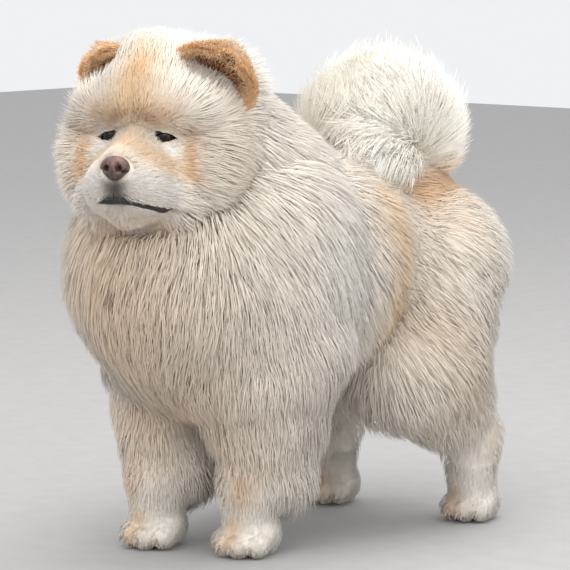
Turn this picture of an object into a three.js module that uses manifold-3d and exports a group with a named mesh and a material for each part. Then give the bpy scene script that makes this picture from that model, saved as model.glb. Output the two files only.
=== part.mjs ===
// A cream chow chow standing square, head turned a little to its left, tail curled over its back.
// Life size, in millimetres: +Z is up, the dog faces -Y, and its left side is at +X.
// The flesh is a smooth union of tapered rods, the coat is a depth laid over it, and the long coat
// is built as flat tapered locks that leave the dense inner coat and bend over along their lie.

import * as THREE from "three";
import { mergeVertices } from "three/addons/utils/BufferGeometryUtils.js";
import Module from "manifold-3d";

const wasm = await Module();
wasm.setup();
const { Manifold, Mesh } = wasm;

// Driving dimensions of the body without its coat
const CHEST_HEIGHT = 350;
const CHEST_RADIUS = 112;
const CHEST_FRONT = -212;
const LOIN_FRONT = 10;
const CROUP = 165;
const SPINE_LIFT = 10;
const NECK_BASE = [0, -125, 415];
const NECK_TOP = [-20, -206, 492];
const NECK_RADIUS = 92;
const ELBOW_HEIGHT = 268;
const WRIST_HEIGHT = 88;
const KNEE_HEIGHT = 215;
const HOCK_HEIGHT = 112;
const ANKLE_CUT = 60;
const LEG_ROOM = 3;
const LONG_COAT = 33;

// Where each foot stands: its middle on the floor
const FEET = {
  fore_left: [54, -168],
  fore_right: [-70, -202],
  hind_left: [117, 196],
  hind_right: [-100, 172],
};
const PAW_WIDTH = { fore: 76, hind: 68 };
const PAW_LENGTH = { fore: 90, hind: 84 };

// The head has a frame of its own: x to the dog's left, y to the back, z up, from the skull's middle
const HEAD_AT = [7, -275, 520];
const HEAD_TURN = THREE.MathUtils.degToRad(22);
const EYE_AT = [33, -62, 0];
const EYE_RADIUS = 12.5;
const NOSE_AT = [0, -139, -33];
const NOSE_SIZE = [18.5, 14, 14.5];
const EAR_AT = [68, -6, 54];
const EAR_HEIGHT = 46;
const EAR_WIDTH = 92;
const EAR_THICK = 15;
const EAR_CUP = 22;

// The tail's middle line, from the croup up and over the back
const TAIL_LINE = [
  [0, 182, 445],
  [8, 184, 498],
  [18, 132, 524],
  [32, 76, 508],
  [46, 58, 474],
];
const TAIL_RADIUS = 16;
const TAIL_PLUME = 70;

// Details under the finest are closed up on small forms, and under the coarse ones on large forms.
// Touching pieces keep the gap.
const FINEST = 0.2;
const COARSE = 0.4;
const GAP = 0.3;
const GROWTH = 0.7;

// Small helpers for points held as [x, y, z]
const plus = (a, b, k = 1) => [a[0] + k * b[0], a[1] + k * b[1], a[2] + k * b[2]];
const dot = (a, b) => a[0] * b[0] + a[1] * b[1] + a[2] * b[2];
const times = (a, k) => [a[0] * k, a[1] * k, a[2] * k];
const blend = (a, b, t) => plus(times(a, 1 - t), b, t);
const unit = (a) => times(a, 1 / (Math.hypot(...a) || 1));
const cross = (a, b) => [
  a[1] * b[2] - a[2] * b[1],
  a[2] * b[0] - a[0] * b[2],
  a[0] * b[1] - a[1] * b[0],
];
const across = (a, n) => unit(plus(a, n, -dot(a, n)));
const clamp = THREE.MathUtils.clamp;
const ease = THREE.MathUtils.smoothstep;

// A seeded random draw from -1 to 1, so that each run makes the same dog.
let seed = 7;
function chance() {
  seed = (seed * 1664525 + 1013904223) % 4294967296;
  return (seed / 4294967296) * 2 - 1;
}

// Flesh: a rod is a round bar that tapers from one radius to another, widened along each axis.
const rod = (from, to, r0, r1, spread = [1, 1, 1]) => ({ from, to, r0, r1, spread });
const ball = (at, sizes) => rod(at, at, 1, 1, sizes);
const pair = (make) => [make(1), make(-1)];

function rodDistance({ from, to, r0, r1, spread }, p) {
  const [sx, sy, sz] = spread;
  const bx = (to[0] - from[0]) / sx;
  const by = (to[1] - from[1]) / sy;
  const bz = (to[2] - from[2]) / sz;
  const px = (p[0] - from[0]) / sx;
  const py = (p[1] - from[1]) / sy;
  const pz = (p[2] - from[2]) / sz;
  const long = bx * bx + by * by + bz * bz;
  const t = long > 0 ? clamp((px * bx + py * by + pz * bz) / long, 0, 1) : 0;
  const off = Math.hypot(px - t * bx, py - t * by, pz - t * bz) - (r0 + t * (r1 - r0));
  return off * Math.min(sx, sy, sz);
}

function softMin(a, b, k) {
  const h = Math.max(k - Math.abs(a - b), 0) / k;
  return Math.min(a, b) - (h * h * k) / 4;
}

const flesh = (rods, k) => (p) =>
  rods.reduce((least, one) => softMin(least, rodDistance(one, p), k), 1e4);

// The head's frame, to and from the dog's
const HEAD_COS = Math.cos(HEAD_TURN);
const HEAD_SIN = Math.sin(HEAD_TURN);
function intoHead(p) {
  const [x, y, z] = plus(p, HEAD_AT, -1);
  return [x * HEAD_COS + y * HEAD_SIN, y * HEAD_COS - x * HEAD_SIN, z];
}
function turnHead([x, y, z]) {
  return [x * HEAD_COS - y * HEAD_SIN, x * HEAD_SIN + y * HEAD_COS, z];
}
const fromHead = (p) => plus(HEAD_AT, turnHead(p));

const headFlesh = flesh(
  [
    ball([0, 5, 18], [72, 80, 66]),
    ball([0, -44, 36], [48, 34, 32]),
    ...pair((s) => ball([s * 44, -20, -34], [44, 50, 46])),
    rod([0, -60, -40], [0, -104, -47], 45, 36, [1.14, 1, 0.84]),
    rod([0, -60, -12], [0, -124, -25], 19, 14),
    rod([0, -58, -73], [0, -100, -80], 28, 18, [1.25, 1, 1]),
    ...pair((s) => rod([s * 22, -112, -60], [s * 36, -80, -68], 20, 20)),
  ],
  16,
);
const browFolds = flesh(
  pair((s) => rod([s * 14, -76, 26], [s * 46, -60, 21], 9, 11)),
  6,
);
const headSkin = (p) => {
  const q = intoHead(p);
  return softMin(headFlesh(q), browFolds(q), 10);
};

const NECK_RODS = [rod(NECK_BASE, NECK_TOP, NECK_RADIUS, NECK_RADIUS - 11)];
const TORSO_RODS = [
  rod([0, -150, CHEST_HEIGHT], [0, LOIN_FRONT, CHEST_HEIGHT + SPINE_LIFT / 2], CHEST_RADIUS, 106),
  ball([0, CHEST_FRONT, CHEST_HEIGHT + 5], [98, 92, 96]),
  rod([0, LOIN_FRONT, CHEST_HEIGHT + 5], [0, 120, CHEST_HEIGHT + 6], 106, 98),
  rod([0, 120, CHEST_HEIGHT + 6], [0, CROUP, CHEST_HEIGHT + 2], 98, 80),
  ...pair((s) => rod([s * 68, -150, 400], [s * 70, -166, 245], 50, 46)),
  ...pair((s) => rod([s * 56, 125, 330], [s * 82, 134, 270], 70, 66)),
];

// Each leg is three rods down to its foot
function foreLegRods(side, foot) {
  const elbow = [side * 70, -150, ELBOW_HEIGHT];
  const wrist = [foot[0] - side * 1, foot[1] + 8, WRIST_HEIGHT];
  return [
    rod([side * 66, -152, 340], elbow, 50, 47),
    rod(elbow, wrist, 46, 29),
    rod(wrist, [foot[0], foot[1], 30], 29, 29),
  ];
}
function hindLegRods(side, foot) {
  const knee = [side * 102, foot[1] - 92, KNEE_HEIGHT];
  const hock = [foot[0] - side * 3, foot[1] - 2, HOCK_HEIGHT];
  return [
    rod([side * 76, 145, 330], knee, 78, 54),
    rod(knee, hock, 54, 28),
    rod(hock, [foot[0], foot[1], 30], 27, 27),
  ];
}

// The coat: at each named place its depth, how far that place reaches, and which way the hair lies.
// Places on the body are given for the left side and mirrored. Lie is x outward, y back, z up.
const place = (at, reach, depth, lie) => ({ at, reach, depth, lie });
const BODY_COAT = [
  place([0, -95, 480], 90, 46, [0, 1, 0.1]),
  place([0, 40, 465], 90, 32, [0, 1, 0]),
  place([0, 150, 460], 70, 32, [0.2, 1, -0.2]),
  place([125, -130, 370], 90, 60, [0.1, 0.4, -1]),
  place([125, -50, 370], 55, 56, [0, 0.7, -1]),
  place([110, 50, 350], 60, 28, [0, 1, -0.6]),
  place([125, 140, 310], 80, 36, [0, 0.6, -1]),
  place([60, 240, 330], 80, 40, [0, 0.4, -1]),
  place([0, 20, 240], 90, 60, [0, 0.8, -0.8]),
  place([0, -290, 350], 90, 64, [0, -0.3, -1]),
  place([0, -230, 230], 60, 78, [0, 0, -1]),
  place([95, -180, 215], 50, 52, [0.1, 0, -1]),
  place([100, -190, 450], 80, 60, [0.3, 0.5, -0.8]),
  place([0, -150, 510], 70, 50, [0, 1, 0.3]),
  place([0, -290, 420], 70, 60, [0, -0.2, -1]),
  place([75, -190, 165], 45, 30, [0.2, 0, -1]),
  place([18, -170, 180], 34, 12, [0, 0.3, -1]),
  place([66, -120, 185], 45, 60, [0, 0.8, -1]),
  place([62, -130, 110], 35, 46, [0, 0.8, -1]),
  place([60, -200, 95], 40, 12, [0, 0.1, -1]),
  place([60, -180, 20], 45, 5, [0, -0.3, -1]),
  place([112, 110, 185], 55, 34, [0, 0.5, -1]),
  place([40, 130, 210], 40, 16, [0, 0.5, -1]),
  place([110, 190, 115], 45, 14, [0, 0.1, -1]),
  place([110, 190, 20], 45, 7, [0, -0.3, -1]),
];
const HEAD_COAT = [
  place([0, 12, 95], 42, 42, [0, 0.8, 0.7]),
  place([85, 48, -5], 50, 54, [0.6, 0.9, -0.5]),
  place([70, -30, -30], 36, 18, [0.9, 0.7, -0.4]),
  place([66, 50, 65], 36, 56, [0.8, 0.8, 0.4]),
  place([64, -16, 55], 30, 8, [0.4, 0.2, 1]),
  place([50, 0, -95], 42, 34, [0.2, 0.5, -1]),
  place([0, -105, -105], 26, 9, [0, 0.6, -1]),
  place([0, -72, 55], 38, 18, [0, 0.4, 1]),
  place([0, -95, 5], 34, 4, [0.4, 0.8, 0.4]),
  place([52, -72, -20], 26, 8, [0.8, 0.9, -0.2]),
  place([0, -135, -45], 45, 4, [0.6, 1, 0]),
];

// The depth and lie at a point are the mean of the places round it, the near ones counting most.
function coatOf(places, p) {
  const side = p[0] < 0 ? -1 : 1;
  const q = [Math.abs(p[0]), p[1], p[2]];
  let total = 1e-9;
  let depth = 0;
  let lie = [0, 0, 0];
  for (const one of places) {
    const d = plus(q, one.at, -1);
    const w = Math.exp(-dot(d, d) / (one.reach * one.reach)) + 1e-6;
    total += w;
    depth += w * one.depth;
    lie = plus(lie, one.lie, w);
  }
  return { depth: depth / total, lie: [side * lie[0], lie[1], lie[2]] };
}
const bodyCoat = (p) => coatOf(BODY_COAT, p);
// Below the elbow and the knee the coat goes with the foot, wherever that stands.
const legCoat = (shift) => (p) => bodyCoat(plus(p, shift, -ease(330 - p[2], 0, 120)));
function headCoat(p) {
  const { depth, lie } = coatOf(HEAD_COAT, intoHead(p));
  return { depth, lie: turnHead(lie) };
}

// A short coat is solid to its tips, and a long one only half way, where the locks take over.
const coreShare = (depth) => 1 - 0.5 * ease(depth, 28, 36);
const furred = (skin, coat) => (p) => {
  const { depth } = coat(p);
  return skin(p) - depth * coreShare(depth);
};
const headCore = furred(headSkin, headCoat);
// The neck's coat is a ruff that fans out behind the cheeks and leaves the face clear.
const neckCoat = (p) => {
  const { depth, lie } = bodyCoat(p);
  return { depth: depth * ease(intoHead(p)[1], -30, 45), lie };
};
const neckCore = furred(flesh(NECK_RODS, 20), neckCoat);
const torsoCore = furred(flesh(TORSO_RODS, 34), bodyCoat);

// Where a ray from inside a form leaves it.
function exitPoint(field, origin, way, step = 6) {
  let near = 0;
  let far = step;
  while (field(plus(origin, way, far)) < 0 && far < 400) {
    near = far;
    far += step;
  }
  for (let i = 0; i < 14; i++) {
    const mid = (near + far) / 2;
    if (field(plus(origin, way, mid)) < 0) near = mid;
    else far = mid;
  }
  return plus(origin, way, near);
}

function outward(field, p) {
  const h = 1.5;
  return unit([
    field([p[0] + h, p[1], p[2]]) - field([p[0] - h, p[1], p[2]]),
    field([p[0], p[1] + h, p[2]]) - field([p[0], p[1] - h, p[2]]),
    field([p[0], p[1], p[2] + h]) - field([p[0], p[1], p[2] - h]),
  ]);
}

// A row of rays leaves one point of a form's middle line. Lean is the angle from the line's way.
const row = (at, axis, lean) => ({ at, axis: unit(axis), lean });

function rayWay({ axis, lean }, turn) {
  const helper = Math.abs(axis[2]) > 0.9 ? [0, 1, 0] : [0, 0, 1];
  const side = unit(cross(helper, axis));
  const up = cross(axis, side);
  const ring = plus(times(side, Math.sin(turn)), up, Math.cos(turn));
  return plus(times(axis, Math.cos(lean)), ring, Math.sin(lean));
}

// The rows of a form that follows a line: a round end, rings along it, and a round end.
function rowsAlong(line, steps, capSteps) {
  const curve = new THREE.CatmullRomCurve3(line.map((p) => new THREE.Vector3(...p)));
  const at = (t) => curve.getPoint(t).toArray();
  const axis = (t) => curve.getTangent(t).toArray();
  const rows = [];
  for (let i = 0; i < capSteps; i++) {
    rows.push(row(at(0), axis(0), Math.PI - (i * Math.PI) / 2 / capSteps));
  }
  for (let i = 0; i <= steps; i++) rows.push(row(at(i / steps), axis(i / steps), Math.PI / 2));
  for (let i = 1; i <= capSteps; i++) {
    rows.push(row(at(1), axis(1), (Math.PI / 2) * (1 - i / capSteps)));
  }
  return rows;
}

// A closed skin through the points where the rays leave the field. Its first and last rows are poles.
function shell(field, rows, segments) {
  const points = [];
  const faces = [];
  rows.forEach((one, i) => {
    const pole = i === 0 || i === rows.length - 1;
    for (let j = 0; j < (pole ? 1 : segments); j++) {
      points.push(...exitPoint(field, one.at, rayWay(one, (j / segments) * 2 * Math.PI)));
    }
  });
  const at = (i, j) => 1 + (i - 1) * segments + ((j + segments) % segments);
  const last = points.length / 3 - 1;
  for (let j = 0; j < segments; j++) {
    faces.push(0, at(1, j), at(1, j + 1));
    for (let i = 1; i < rows.length - 2; i++) {
      faces.push(at(i, j), at(i + 1, j), at(i + 1, j + 1));
      faces.push(at(i, j), at(i + 1, j + 1), at(i, j + 1));
    }
    faces.push(last, at(rows.length - 2, j + 1), at(rows.length - 2, j));
  }
  return solid(points, faces).simplify(COARSE);
}

// Solids and their joins
function solid(points, faces) {
  const made = new Manifold(
    new Mesh({
      numProp: 3,
      vertProperties: new Float32Array(points),
      triVerts: new Uint32Array(faces),
    }),
  );
  if (made.volume() >= 0) return made;
  const turned = [];
  for (let i = 0; i < faces.length; i += 3) turned.push(faces[i], faces[i + 2], faces[i + 1]);
  return solid(points, turned);
}

function solidOf(geometry) {
  const bare = new THREE.BufferGeometry();
  bare.setAttribute("position", geometry.getAttribute("position"));
  if (geometry.index) bare.setIndex(geometry.index);
  const merged = mergeVertices(bare, 1e-3);
  return solid([...merged.attributes.position.array], [...merged.index.array]);
}

function ellipsoid(centre, sizes, around = 16, down = 10) {
  const geometry = new THREE.SphereGeometry(1, around, down);
  geometry.scale(...sizes).translate(...centre);
  return solidOf(geometry);
}

const joined = (solids) => Manifold.union(solids);

// Each vertex of a solid, with the faces' normals round it, each as long as twice its face's area
function vertexFaces(made) {
  const { vertProperties, triVerts } = made.getMesh();
  const points = Array.from({ length: vertProperties.length / 3 }, (_, i) => [
    ...vertProperties.slice(3 * i, 3 * i + 3),
  ]);
  const around = points.map(() => []);
  for (let i = 0; i < triVerts.length; i += 3) {
    const [a, b, c] = triVerts.slice(i, i + 3);
    const face = cross(plus(points[b], points[a], -1), plus(points[c], points[a], -1));
    for (const k of [a, b, c]) around[k].push(face);
  }
  return { points, around, triVerts };
}
const meanWay = (faces) => unit(faces.reduce((sum, face) => plus(sum, face), [0, 0, 0]));

// A copy whose faces all stand a little further out, for cutting room in a neighbour
function grown(made, by = GROWTH) {
  const { points, around, triVerts } = vertexFaces(made);
  const moved = points.flatMap((p, i) => {
    const way = meanWay(around[i]);
    const least = Math.min(...around[i].map((face) => dot(unit(face), way)));
    return plus(p, way, by / Math.max(least, 0.35));
  });
  return solid(moved, triVerts);
}

// Where a surface touches itself at a point or an edge, each side is drawn in a little.
function opened(made) {
  const { points, around, triVerts } = vertexFaces(made);
  const places = new Map();
  points.forEach((p, i) => {
    const key = p.map((x) => Math.round(x * 100)).join();
    places.set(key, [...(places.get(key) ?? []), i]);
  });
  for (const group of places.values()) {
    if (group.length < 2) continue;
    for (const i of group) points[i] = plus(points[i], meanWay(around[i]), -FINEST);
  }
  return solid(points.flat(), triVerts);
}

function largest(made) {
  const bodies = made.decompose();
  return bodies.reduce((a, b) => (b.volume() > a.volume() ? b : a));
}

const placedInHead = (made) =>
  made.rotate([0, 0, THREE.MathUtils.radToDeg(HEAD_TURN)]).translate(HEAD_AT);

// A lock is a flat blade with a ridge along its back. It starts sunk in the core, rises off it and
// bends over along its lie to a point.
const LOCK_RINGS = [0, 0.42, 0.78];
const LOCK_WIDTHS = [0.85, 1, 0.68];
const LOCK_SINK = 12;

function lock({ root, normal, lie, length, rise, width, thick, turn = 0 }) {
  const flat = across(lie, normal);
  const turned = unit(plus(flat, cross(normal, flat), Math.tan(turn)));
  const start = plus(root, normal, -LOCK_SINK);
  const bend = plus(plus(root, normal, rise * 1.15), turned, length * 0.3);
  const tip = plus(plus(root, normal, rise * 0.85), turned, length);
  const side = unit(cross(normal, turned));
  const points = [];
  LOCK_RINGS.forEach((t, i) => {
    const middle = blend(blend(start, bend, t), blend(bend, tip, t), t);
    const along = unit(plus(blend(bend, tip, t), blend(start, bend, t), -1));
    const up = cross(along, side);
    const w = (width / 2) * LOCK_WIDTHS[i];
    const h = (thick / 2) * (1 - 0.45 * t);
    const under = plus(middle, up, -h);
    points.push(...plus(under, side, w), ...plus(middle, up, h), ...plus(under, side, -w));
  });
  points.push(...tip);
  const faces = [0, 1, 2];
  const top = LOCK_RINGS.length * 3;
  for (let j = 0; j < 3; j++) {
    const k = (j + 1) % 3;
    for (let i = 0; i < LOCK_RINGS.length - 1; i++) {
      const a = i * 3;
      faces.push(a + j, a + 3 + j, a + 3 + k, a + j, a + 3 + k, a + k);
    }
    faces.push(top - 3 + j, top, top - 3 + k);
  }
  return solid(points, faces);
}

// Sets locks on a form in staggered rings, each turned by a little chance, and keeps those that
// clear every other node. One that would touch a neighbour is raised or shortened first.
const LOCK_TRIES = [
  { lift: 0, cut: 1 },
  { lift: 7, cut: 1 },
  { lift: 7, cut: 0.8 },
  { lift: 14, cut: 0.8 },
  { lift: 0, cut: 0.7 },
  { lift: 0, cut: 0.5 },
];

function coatLocks({ field, coat, rows, count, width, thick, others, lieOf }) {
  const locks = [];
  rows.forEach((one, i) => {
    for (let j = 0; j < count; j++) {
      const turn = ((j + (i % 2) / 2 + 0.15 * chance()) / count) * 2 * Math.PI;
      const root = exitPoint(field, one.at, rayWay(one, turn));
      const bendBy = 0.2 * chance();
      const size = 1 + 0.12 * chance();
      const { depth, lie } = coat(root);
      if (depth < LONG_COAT) continue;
      const made = {
        root,
        normal: outward(field, root),
        lie: lieOf ? lieOf(root) : lie,
        width: width * size,
        thick,
        turn: bendBy,
      };
      for (const { lift, cut } of LOCK_TRIES) {
        made.length = clamp(1.15 * depth + 12, 40, 80) * size * cut;
        made.rise = 1.15 * depth * (1 - coreShare(depth)) - 2 + lift;
        const room = lock({ ...made, width: made.width + 4 * GAP, thick: made.thick + 4 * GAP });
        if (others.every((other) => room.intersect(other).isEmpty())) {
          locks.push(lock(made));
          break;
        }
      }
    }
  });
  return locks;
}

// Head: the skull, cheeks and muzzle, with lids, lips and the line of the mouth
const FACE_SEGMENTS = 36;
const FACE_ROWS = 22;

function headRows(count) {
  const rows = [];
  for (let i = 0; i <= count; i++) {
    const t = i / count;
    const local = blend([0, -88, -44], [0, -8, 4], ease(t, 0.12, 0.62));
    rows.push(row(fromHead(local), turnHead([0, -1, 0]), Math.PI * t));
  }
  return rows;
}

// The line of the mouth on the muzzle, from one corner round the front to the other.
const MOUTH_SIDE = [
  [0, -140, -68],
  [20, -134, -69],
  [36, -120, -74],
  [46, -102, -80],
  [52, -84, -83],
];
function mouthLine(off) {
  const mirrored = MOUTH_SIDE.slice(1).reverse().map(([x, y, z]) => [-x, y, z]);
  return [...mirrored, ...MOUTH_SIDE].map((aim) => {
    const from = [0, -74, -64];
    const hit = exitPoint(headCore, fromHead(from), turnHead(unit(plus(aim, from, -1))), 3);
    return plus(intoHead(hit), [0, 0, 1], off);
  });
}

function bar(line, radii, sides = 4) {
  const curve = new THREE.CatmullRomCurve3(line.map((p) => new THREE.Vector3(...p)));
  const steps = Math.round((line.length - 1) * 1.5);
  const rows = [];
  const points = [];
  const faces = [];
  for (let i = 0; i <= steps; i++) {
    const t = i / steps;
    const at = curve.getPoint(t).toArray();
    const axis = curve.getTangent(t).toArray();
    const side = across([0, 0, 1], axis);
    const other = cross(axis, side);
    rows.push(at);
    for (let j = 0; j < sides; j++) {
      const turn = (j / sides) * 2 * Math.PI;
      const ring = plus(times(side, Math.cos(turn)), other, Math.sin(turn));
      points.push(...plus(at, ring, radii(t)));
    }
  }
  points.push(...rows[0], ...rows[steps]);
  const ends = (steps + 1) * sides;
  for (let j = 0; j < sides; j++) {
    const k = (j + 1) % sides;
    for (let i = 0; i < steps; i++) {
      const a = i * sides;
      faces.push(a + j, a + sides + j, a + sides + k, a + j, a + sides + k, a + k);
    }
    faces.push(ends, j, k, ends + 1, ends - sides + k, ends - sides + j);
  }
  return solid(points, faces);
}

// The opening between the lids is an almond, cut out by the common part of two wide discs.
const LID_THICK = 3;
const EYE_OPENING = [25, 12];
const EYE_SLANT = 12;
function eyeOpening(side) {
  const [w, h] = EYE_OPENING;
  const radius = (w * w + h * h) / (4 * h);
  const disc = (up) =>
    solidOf(
      new THREE.CylinderGeometry(radius, radius, 40, 24).translate(0, 0, up * (radius - h / 2)),
    );
  const almond = disc(1).intersect(disc(-1));
  return almond
    .rotate([0, -side * EYE_SLANT, side * 14])
    .translate([side * EYE_AT[0], EYE_AT[1] - 12, EYE_AT[2] + 1]);
}

function headSolid() {
  const skull = shell(headCore, headRows(FACE_ROWS), FACE_SEGMENTS);
  const lids = [];
  const cuts = [];
  for (const side of [1, -1]) {
    const at = [side * EYE_AT[0], EYE_AT[1], EYE_AT[2]];
    const lid = EYE_RADIUS + LID_THICK;
    lids.push(placedInHead(ellipsoid(at, [lid, lid, lid], 12, 8)));
    const room = EYE_RADIUS + GAP;
    cuts.push(placedInHead(ellipsoid(at, [room, room, room], 14, 9)));
    cuts.push(placedInHead(eyeOpening(side)));
  }
  const lips = [
    bar(mouthLine(4.4), (t) => 4.2 - 2.4 * Math.abs(2 * t - 1)),
    bar(mouthLine(-4.6), (t) => 4.4 - 2.4 * Math.abs(2 * t - 1)),
  ].map(placedInHead);
  const mouth = placedInHead(bar(mouthLine(0), (t) => 2 + 1.2 * Math.cos(2 * Math.PI * t) ** 2));
  const noseRoom = placedInHead(noseForm(GROWTH));
  const earRooms = [1, -1].map((side) => placedInHead(grown(earForm(side), 1)));
  return joined([skull, ...lids, ...lips]).subtract(joined([...cuts, mouth, noseRoom, ...earRooms]));
}

// Nose: a rounded block with two comma-shaped nostrils
function noseForm(grow = 0) {
  const [w, l, h] = NOSE_SIZE.map((size) => size + grow);
  const top = ellipsoid(plus(NOSE_AT, [0, 0, 3]), [w, l, h - 3], 10, 7);
  const below = ellipsoid(plus(NOSE_AT, [0, 0, -6]), [w - 6, l - 1, h - 4], 9, 6);
  return joined([top, below]);
}
function noseSolid() {
  const cuts = [1, -1].flatMap((side) => [
    ellipsoid(plus(NOSE_AT, [side * 7.5, -12.5, 0]), [3.4, 6, 4.2], 7, 4),
    ellipsoid(plus(NOSE_AT, [side * 13, -9.5, -2.5]), [4.4, 5, 1.7], 7, 4),
  ]);
  const groove = ellipsoid(plus(NOSE_AT, [0, -14, -8]), [1.2, 3, 9], 6, 5);
  return placedInHead(noseForm().subtract(joined([...cuts, groove])));
}

const eyeSolid = (side) =>
  placedInHead(
    ellipsoid([side * EYE_AT[0], EYE_AT[1], EYE_AT[2]], Array(3).fill(EYE_RADIUS), 14, 9),
  );

// Ear: a thick rounded flap, cupped to the front, that leans forward and outward
const EAR_ACROSS = 8;
const EAR_UP = 6;
const EAR_LEAN = -24;
const EAR_SPREAD = 32;
const EAR_FACING = 26;

function earForm(side) {
  const points = [];
  const faces = [];
  const sheet = (face) => {
    for (let i = 0; i <= EAR_UP; i++) {
      const v = i / EAR_UP;
      const half = (EAR_WIDTH / 2) * Math.sqrt(1 - 0.85 * v ** 2.6);
      for (let j = 0; j <= EAR_ACROSS; j++) {
        const u = (2 * j) / EAR_ACROSS - 1;
        const round = Math.sqrt(Math.max(0, 1 - 0.8 * u * u));
        const thick = (EAR_THICK * (1 - 0.35 * v) * (0.35 + 0.65 * round)) / 2;
        const y = EAR_CUP * (1 - u * u) * (1 - 0.5 * v) - 9 * v * v - face * thick;
        const z = -14 + (EAR_HEIGHT + 14) * v * (0.8 + 0.2 * round);
        points.push(side * half * u, y, z);
      }
    }
  };
  sheet(1);
  sheet(-1);
  const wide = EAR_ACROSS + 1;
  const back = wide * (EAR_UP + 1);
  for (let i = 0; i < EAR_UP; i++) {
    for (let j = 0; j < EAR_ACROSS; j++) {
      const a = i * wide + j;
      faces.push(a, a + 1, a + wide + 1, a, a + wide + 1, a + wide);
      faces.push(back + a, back + a + wide + 1, back + a + 1);
      faces.push(back + a, back + a + wide, back + a + wide + 1);
    }
  }
  const rim = [];
  for (let j = 0; j < EAR_ACROSS; j++) rim.push(j);
  for (let i = 0; i < EAR_UP; i++) rim.push(i * wide + EAR_ACROSS);
  for (let j = EAR_ACROSS; j > 0; j--) rim.push(EAR_UP * wide + j);
  for (let i = EAR_UP; i > 0; i--) rim.push(i * wide);
  rim.forEach((a, i) => {
    const b = rim[(i + 1) % rim.length];
    faces.push(a, back + a, back + b, a, back + b, b);
  });
  return solid(points, faces)
    .rotate([-EAR_LEAN, 0, 0])
    .rotate([0, side * EAR_SPREAD, 0])
    .rotate([0, 0, side * EAR_FACING])
    .translate([side * EAR_AT[0], EAR_AT[1], EAR_AT[2]]);
}
const earSolid = (side) => largest(placedInHead(earForm(side)));

// Neck and torso cores
const neckRows = rowsAlong([NECK_BASE, NECK_TOP], 3, 4);
const torsoLine = [
  [0, -170, CHEST_HEIGHT],
  [0, LOIN_FRONT, CHEST_HEIGHT + 2],
  [0, 170, CHEST_HEIGHT + SPINE_LIFT],
];
const torsoRows = rowsAlong(torsoLine, 8, 4);

// Legs end in a flat cut above the foot, which the paw meets
const STANCE = { fore: [60, -180], hind: [110, 185] };
const legField = (rods, coat, k = 26) => furred(flesh(rods, k), coat);

function legSolid(rods, coat, side, around) {
  const line = [...rods.map((one) => one.from), rods.at(-1).to];
  const whole = shell(legField(rods, coat), rowsAlong(line, 9, 3), around);
  return whole.trimByPlane([0, 0, 1], ANKLE_CUT).trimByPlane([side, 0, 0], LEG_ROOM);
}

// Paw: a pad and four arched toes, each with a short claw, flat on the floor
const TOES = [
  { x: -0.37, y: -0.16, size: 0.9 },
  { x: -0.125, y: -0.3, size: 1 },
  { x: 0.125, y: -0.3, size: 1 },
  { x: 0.37, y: -0.16, size: 0.9 },
];

function pawSolid(kind, rods, foot) {
  const w = PAW_WIDTH[kind];
  const l = PAW_LENGTH[kind];
  const toes = TOES.map(({ x, y, size }) => {
    const at = [foot[0] + x * w * 0.98, foot[1] + y * l, 17];
    return rod(plus(at, [0, 16, 12]), at, w * 0.125 * size, w * 0.165 * size, [1, 1.25, 1.05]);
  });
  const pad = ball([foot[0], foot[1] + 8, 24], [w * 0.4, l * 0.36, 27]);
  const fleshy = (p) => softMin(rods(p), flesh([pad], 10)(p), 14);
  const toed = (p) => softMin(fleshy(p), flesh(toes, 1.5)(p), 5) - 3;
  const clipped = (p) => Math.max(toed(p), p[2] - ANKLE_CUT - 20, -25 - p[2]);
  const rows = [];
  const count = 8;
  for (let i = 0; i <= count; i++) {
    const at = [foot[0], foot[1] - 4, 26];
    rows.push(row(at, [0, 0, -1], (Math.PI * i) / count));
  }
  const claws = TOES.map(({ x, y, size }) => {
    const at = [foot[0] + x * w, foot[1] + y * l - 0.2 * w * size, 15];
    const geometry = new THREE.ConeGeometry(3.2, 15, 5);
    geometry.rotateX(THREE.MathUtils.degToRad(118)).translate(at[0], at[1] - 4, at[2] - 4);
    return solidOf(geometry);
  });
  return joined([shell(clipped, rows, 22), ...claws])
    .trimByPlane([0, 0, 1], 0)
    .trimByPlane([0, 0, -1], -(ANKLE_CUT - GAP));
}

// Tail
const tailFlesh = flesh(
  TAIL_LINE.slice(1).map((p, i) => rod(TAIL_LINE[i], p, TAIL_RADIUS, TAIL_RADIUS - 1)),
  10,
);
const tailCore = (p) => tailFlesh(p) - TAIL_PLUME * 0.5 * ease(p[2], 400, 470);
const tailRows = rowsAlong(TAIL_LINE, 7, 3);
function tailLie(p) {
  return unit(plus(p, [24, 112, 440], -1));
}

const dog = new THREE.Group();
function addNode(name, made, colour, tolerance, roughness = 0.9) {
  const kept = opened(largest(largest(made).simplify(tolerance)));
  const mesh = kept.getMesh();
  const geometry = new THREE.BufferGeometry();
  geometry.setAttribute("position", new THREE.BufferAttribute(mesh.vertProperties, 3));
  geometry.setIndex(new THREE.BufferAttribute(mesh.triVerts, 1));
  geometry.computeVertexNormals();
  const material = new THREE.MeshStandardMaterial({ color: colour, roughness, metalness: 0 });
  const piece = new THREE.Mesh(geometry, material);
  piece.name = name;
  dog.add(piece);
  return kept;
}

const CREAM = 0xe6dccb;
const WHITE = 0xf3efe9;
const TAN = 0xcf9a62;
const NOSE_BROWN = 0x6a4a46;
const EYE_DARK = 0x1a1210;

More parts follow.
